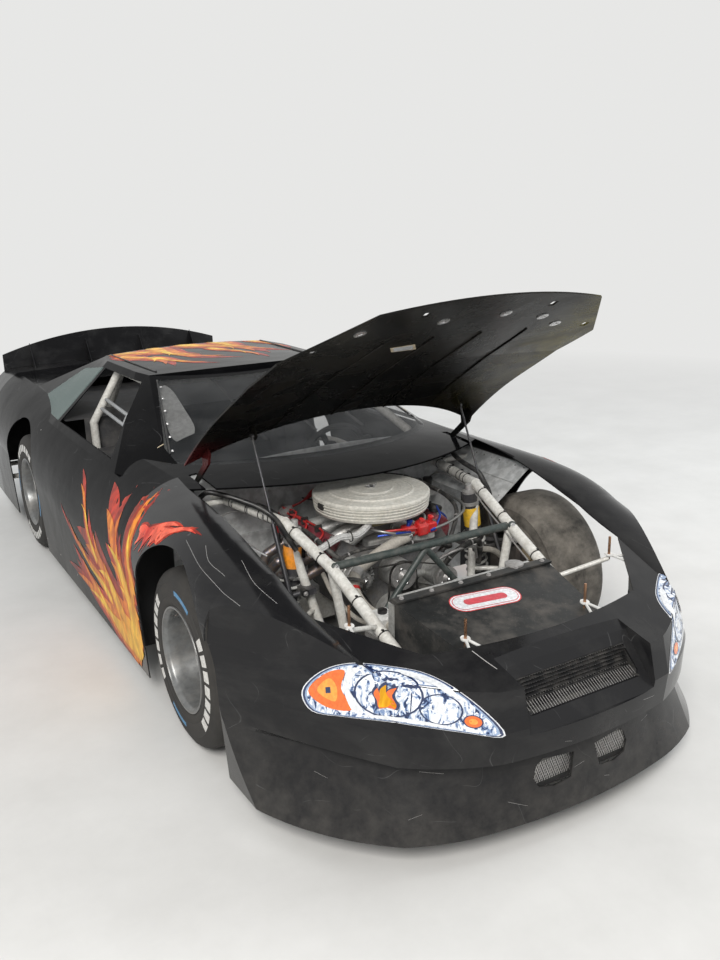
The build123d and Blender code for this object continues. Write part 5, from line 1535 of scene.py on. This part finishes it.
def crowned_pad(at, wide, tall, out, thick, channels):
    """A closed stuffed form: crowned, pulled in between its corners, dipped at its channels."""
    mesh = Mesh("pad_cloth")
    rows, columns, step = PAD_ROWS, PAD_COLUMNS, PAD_COLUMNS + 1
    top, low = [], []
    # u and v run from -1 to 1 across the pad and along it
    for i in range(rows + 1):
        u = 2 * i / rows - 1
        for j in range(columns + 1):
            v = 2 * j / columns - 1
            crown = max(0.0, (1 - abs(u) ** 5) * (1 - abs(v) ** 5)) ** 0.45
            dip = max([0.32 * max(0.0, 1 - ((v - c) / 0.07) ** 2) for c in channels] + [0.0])
            spot = (at + wide * (u / 2) * (1 - 0.03 * (1 - v * v))
                    + tall * (v / 2) * (1 - 0.03 * (1 - u * u)))
            top.append(spot + out * (PAD_SIDE + (thick - PAD_SIDE) * crown * (1 - dip)))
            low.append(spot + out * PAD_FOOT)
    for layer in (top, low):
        mesh.add(layer, [(k, k + step, k + step + 1, k + 1)
                         for k in (i * step + j for i in range(rows) for j in range(columns))])
    rim = ([j for j in range(columns)] + [i * step + columns for i in range(rows)]
           + [rows * step + j for j in range(columns, 0, -1)]
           + [i * step for i in range(rows, 0, -1)])
    mesh.skin([[layer[k] for k in rim] for layer in (top, low)], caps=False)
    mesh.pipe([top[k] for k in rim], PAD_PIPING, "trim_black", 6, True)
    return mesh


def add_seat_pads():
    for number, spec in enumerate(SEAT_PADS, 1):
        crowned_pad(*spec).done(f"seat_pad_{number}", "seat_black")


# cockpit
BELT_SHIFTS = (-0.055, 0.055)
# corners of the webbing, held off the seat's back, for a strip
BELT_SECTION = [(x, *(BACK_OUT * out).yz, 0) for x, out in
                ((-0.024, 0.046), (0.024, 0.046), (0.024, 0.0485), (-0.024, 0.0485))]
# x, z and radius of each dash gauge
GAUGES = [(0.20, 0.83, 0.040), (0.30, 0.85, 0.050), (0.41, 0.83, 0.040), (0.50, 0.81, 0.030)]
DASH_PAST_Y = -0.2
# ends on the cage's slanting front tube and on its hoop, then the ties between the bars
WINDOW_BARS = [((0.633, -0.397, 0.905), (0.612, 0.683, 0.940), 0.010, 12),
               ((0.606, -0.292, 0.955), (0.585, 0.673, 0.990), 0.010, 12),
               ((0.626, -0.050, 0.916), (0.601, -0.050, 0.964), 0.007, 10),
               ((0.620, 0.250, 0.926), (0.594, 0.250, 0.975), 0.007, 10)]


def add_harness():
    """Two shoulder straps and a buckle that lie on the seat."""
    low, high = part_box("seat")
    seat, mesh = Panel("seat"), Mesh("web_black")
    middle = (low[0] + high[0]) / 2
    for shift in BELT_SHIFTS:
        points = between((middle + shift, -0.6, high[2] - 0.17), (middle + shift * 0.6, -0.6, 0.36), 24)
        strip(mesh, seat.hits(points, AFT), BELT_SECTION)
    for buckle, _ in seat.hits([(middle, -0.6, 0.41)], AFT):
        mesh.boss(buckle + BACK_OUT * 0.049, BACK_OUT, 0.030, 0.010, 0.022, 0.014, "bright_steel", 28)
    mesh.done("harness", "seat_black")


def add_gauges():
    """Dials with a hand each, and a row of switches, on the dash."""
    mesh, sheets = Mesh("trim_black"), Panel("cockpit")

    def on_dash(x, z):
        return [found for found in sheets.hits([(x, 0.3, z)], FORE) if found[0].y < DASH_PAST_Y]

    for x, z, radius in GAUGES:
        for place, normal in on_dash(x, z):
            mesh.lathe([(0, radius), (0.010, radius), (0.012, radius * 0.92), (0.006, radius * 0.88)],
                       place, normal, None, 32)
            mesh.lathe([(0.002, radius * 0.88), (0.004, radius * 0.88)], place, normal, "lamp_white", 32)
            hand = Vector((0.6, 0, 0.8)) * radius * 0.7
            mesh.pipe([place + normal * 0.006, place + normal * 0.006 + hand], 0.0012, "red_plastic", 6)
    for k in range(5):
        for place, normal in on_dash(0.02 + k * 0.035, 0.80):
            mesh.lathe([(0, 0.010), (0.004, 0.010), (0.005, 0.004), (0.022, 0.003)], place, normal,
                       "bright_steel", 16)
    mesh.done("gauges", "sheet_grey")


def add_window_bars():
    mesh = Mesh("bar_grey")
    for side, _ in SIDES:
        for start, end, radius, sides in WINDOW_BARS:
            mesh.pipe([flip(start, side), flip(end, side)], radius, None, sides)
    mesh.done("window_bars", "tube_white")


# rear and underside
REAR_HUB = (0.62, 1.31, 0.35)
# number of black dots painted on each rear disc as the shade of its drilled holes
DRILL_SHADES = 24
TAIL_RIVETS_X = (-0.80, -0.55, -0.30, 0.0, 0.30, 0.55, 0.80)


def add_rear():
    """Rear discs with black dots painted as the shade in their drilled holes, their calipers, the fuel
    cell's straps and its cap.
    """
    mesh = Mesh("bright_steel")
    for side, _ in SIDES:
        brake, inward = flip(REAR_HUB, side), Vector((-side, 0, 0))
        mesh.lathe([(-0.006, 0.060), (-0.006, 0.145), (0.006, 0.145), (0.006, 0.060)], brake,
                   (1, 0, 0), "dull_steel", 56)
        # black dots in place of drilled holes: painted shade
        for k, out in enumerate(circle(DRILL_SHADES, "yz")):
            spot = brake + out * (0.085 + 0.022 * (k % 3)) + inward * 0.0062
            mesh.lathe([(0, 0.0045), (0.0006, 0.0040)], spot, inward, "trim_black", 10)
        mesh.ribs(brake + inward * 0.034, circle(5, "yz", radians(72), radians(12)), (0.098, 0.160),
                  0.011, inward * -0.066, 0.003, "caliper_rear")
    low, high = (Vector(corner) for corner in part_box("fuel_cell"))
    skirt, grow = Vector((0, 0.003, 0.003)), Vector((0.020, 0.0015, 0.0015))
    for share in (0.22, 0.78):
        x = low.x + (high.x - low.x) * share
        first, last = Vector((x, *low.yz)) - skirt, Vector((x, *high.yz)) + skirt
        loop = [first, Vector((x, last.y, first.z)), last, Vector((x, first.y, last.z))]
        for a, b in zip(loop, loop[1:] + loop[:1]):
            mesh.block(Vector(map(min, a, b)) - grow, Vector(map(max, a, b)) + grow, 0.0006)
    lid = Vector(((low.x + high.x) / 2, (low.y + high.y) / 2, high.z))
    mesh.filler(lid, UP, 0.045, 0.012, 0.052, 0.026, 0.040, "trim_black", 32)
    mesh.done("rear_parts", "engine_iron")


def add_tail_rivets():
    mesh, tail = Mesh("dull_steel"), Panel("tail_panel", "deck_lid", "spoiler")
    for x in TAIL_RIVETS_X:
        behind = tail.hits([(x, 3.2, 0.30), (x, 3.2, 0.74)], FORE)
        for place, normal in behind + tail.hits([(x, 1.55, ABOVE)], DOWN):
            mesh.rivet(place - normal * 0.0022, normal, 0.005)
    mesh.done("tail_rivets", "nose_black")


# floor
FLOOR_HALF, FLOOR_Z = 60, -0.0005
FLOOR_NEAR, FLOOR_FAR = 3.5, 9.0


def add_floor():
    """A plain pale floor that fades into the backdrop far from the car."""
    data = bpy.data.meshes.new("floor")
    corners = ((-1, -1), (1, -1), (1, 1), (-1, 1))
    data.from_pydata([(x * FLOOR_HALF, y * FLOOR_HALF, FLOOR_Z) for x, y in corners], [],
                     [(0, 1, 2, 3)])
    floor = bpy.data.objects.new("floor", data)
    bpy.context.scene.collection.objects.link(floor)
    look = Look("floor", rough=0.75, gloss=0.3)
    grain = look.fade(look.noise(2.2, 9, 0.65), 0.35, 0.7)
    look.finish(look.mix(grain, (0.60, 0.595, 0.58), (0.66, 0.655, 0.64)))
    place = look.node("VectorMath", {0: look.place}, operation="LENGTH")
    far = look.span(place.outputs["Value"], FLOOR_NEAR, FLOOR_FAR)
    glow = look.node("Emission", {"Color": BACKDROP})
    blend = look.node("MixShader", {0: look.times(far, seeing_rays(look.tree)),
                                    1: look.shader.outputs[0], 2: glow.outputs[0]})
    look.feed(look.tree.nodes["Material Output"].inputs["Surface"], blend.outputs[0])
    data.materials.append(LOOKS["floor"])


add_looks()
dress_frame()
add_camera()
add_light()
add_flames()
add_lamps()
add_wheels()
add_rails()
add_front_drive()
add_plumbing()
add_ignition()
add_intake()
add_sheet_metal()
add_front_corner()
add_radiator_cover()
add_grille()
add_hood_parts()
add_wear()
add_glass_trim()
add_side_marks()
add_seat_pads()
add_harness()
add_gauges()
add_window_bars()
add_rear()
add_tail_rivets()
add_floor()
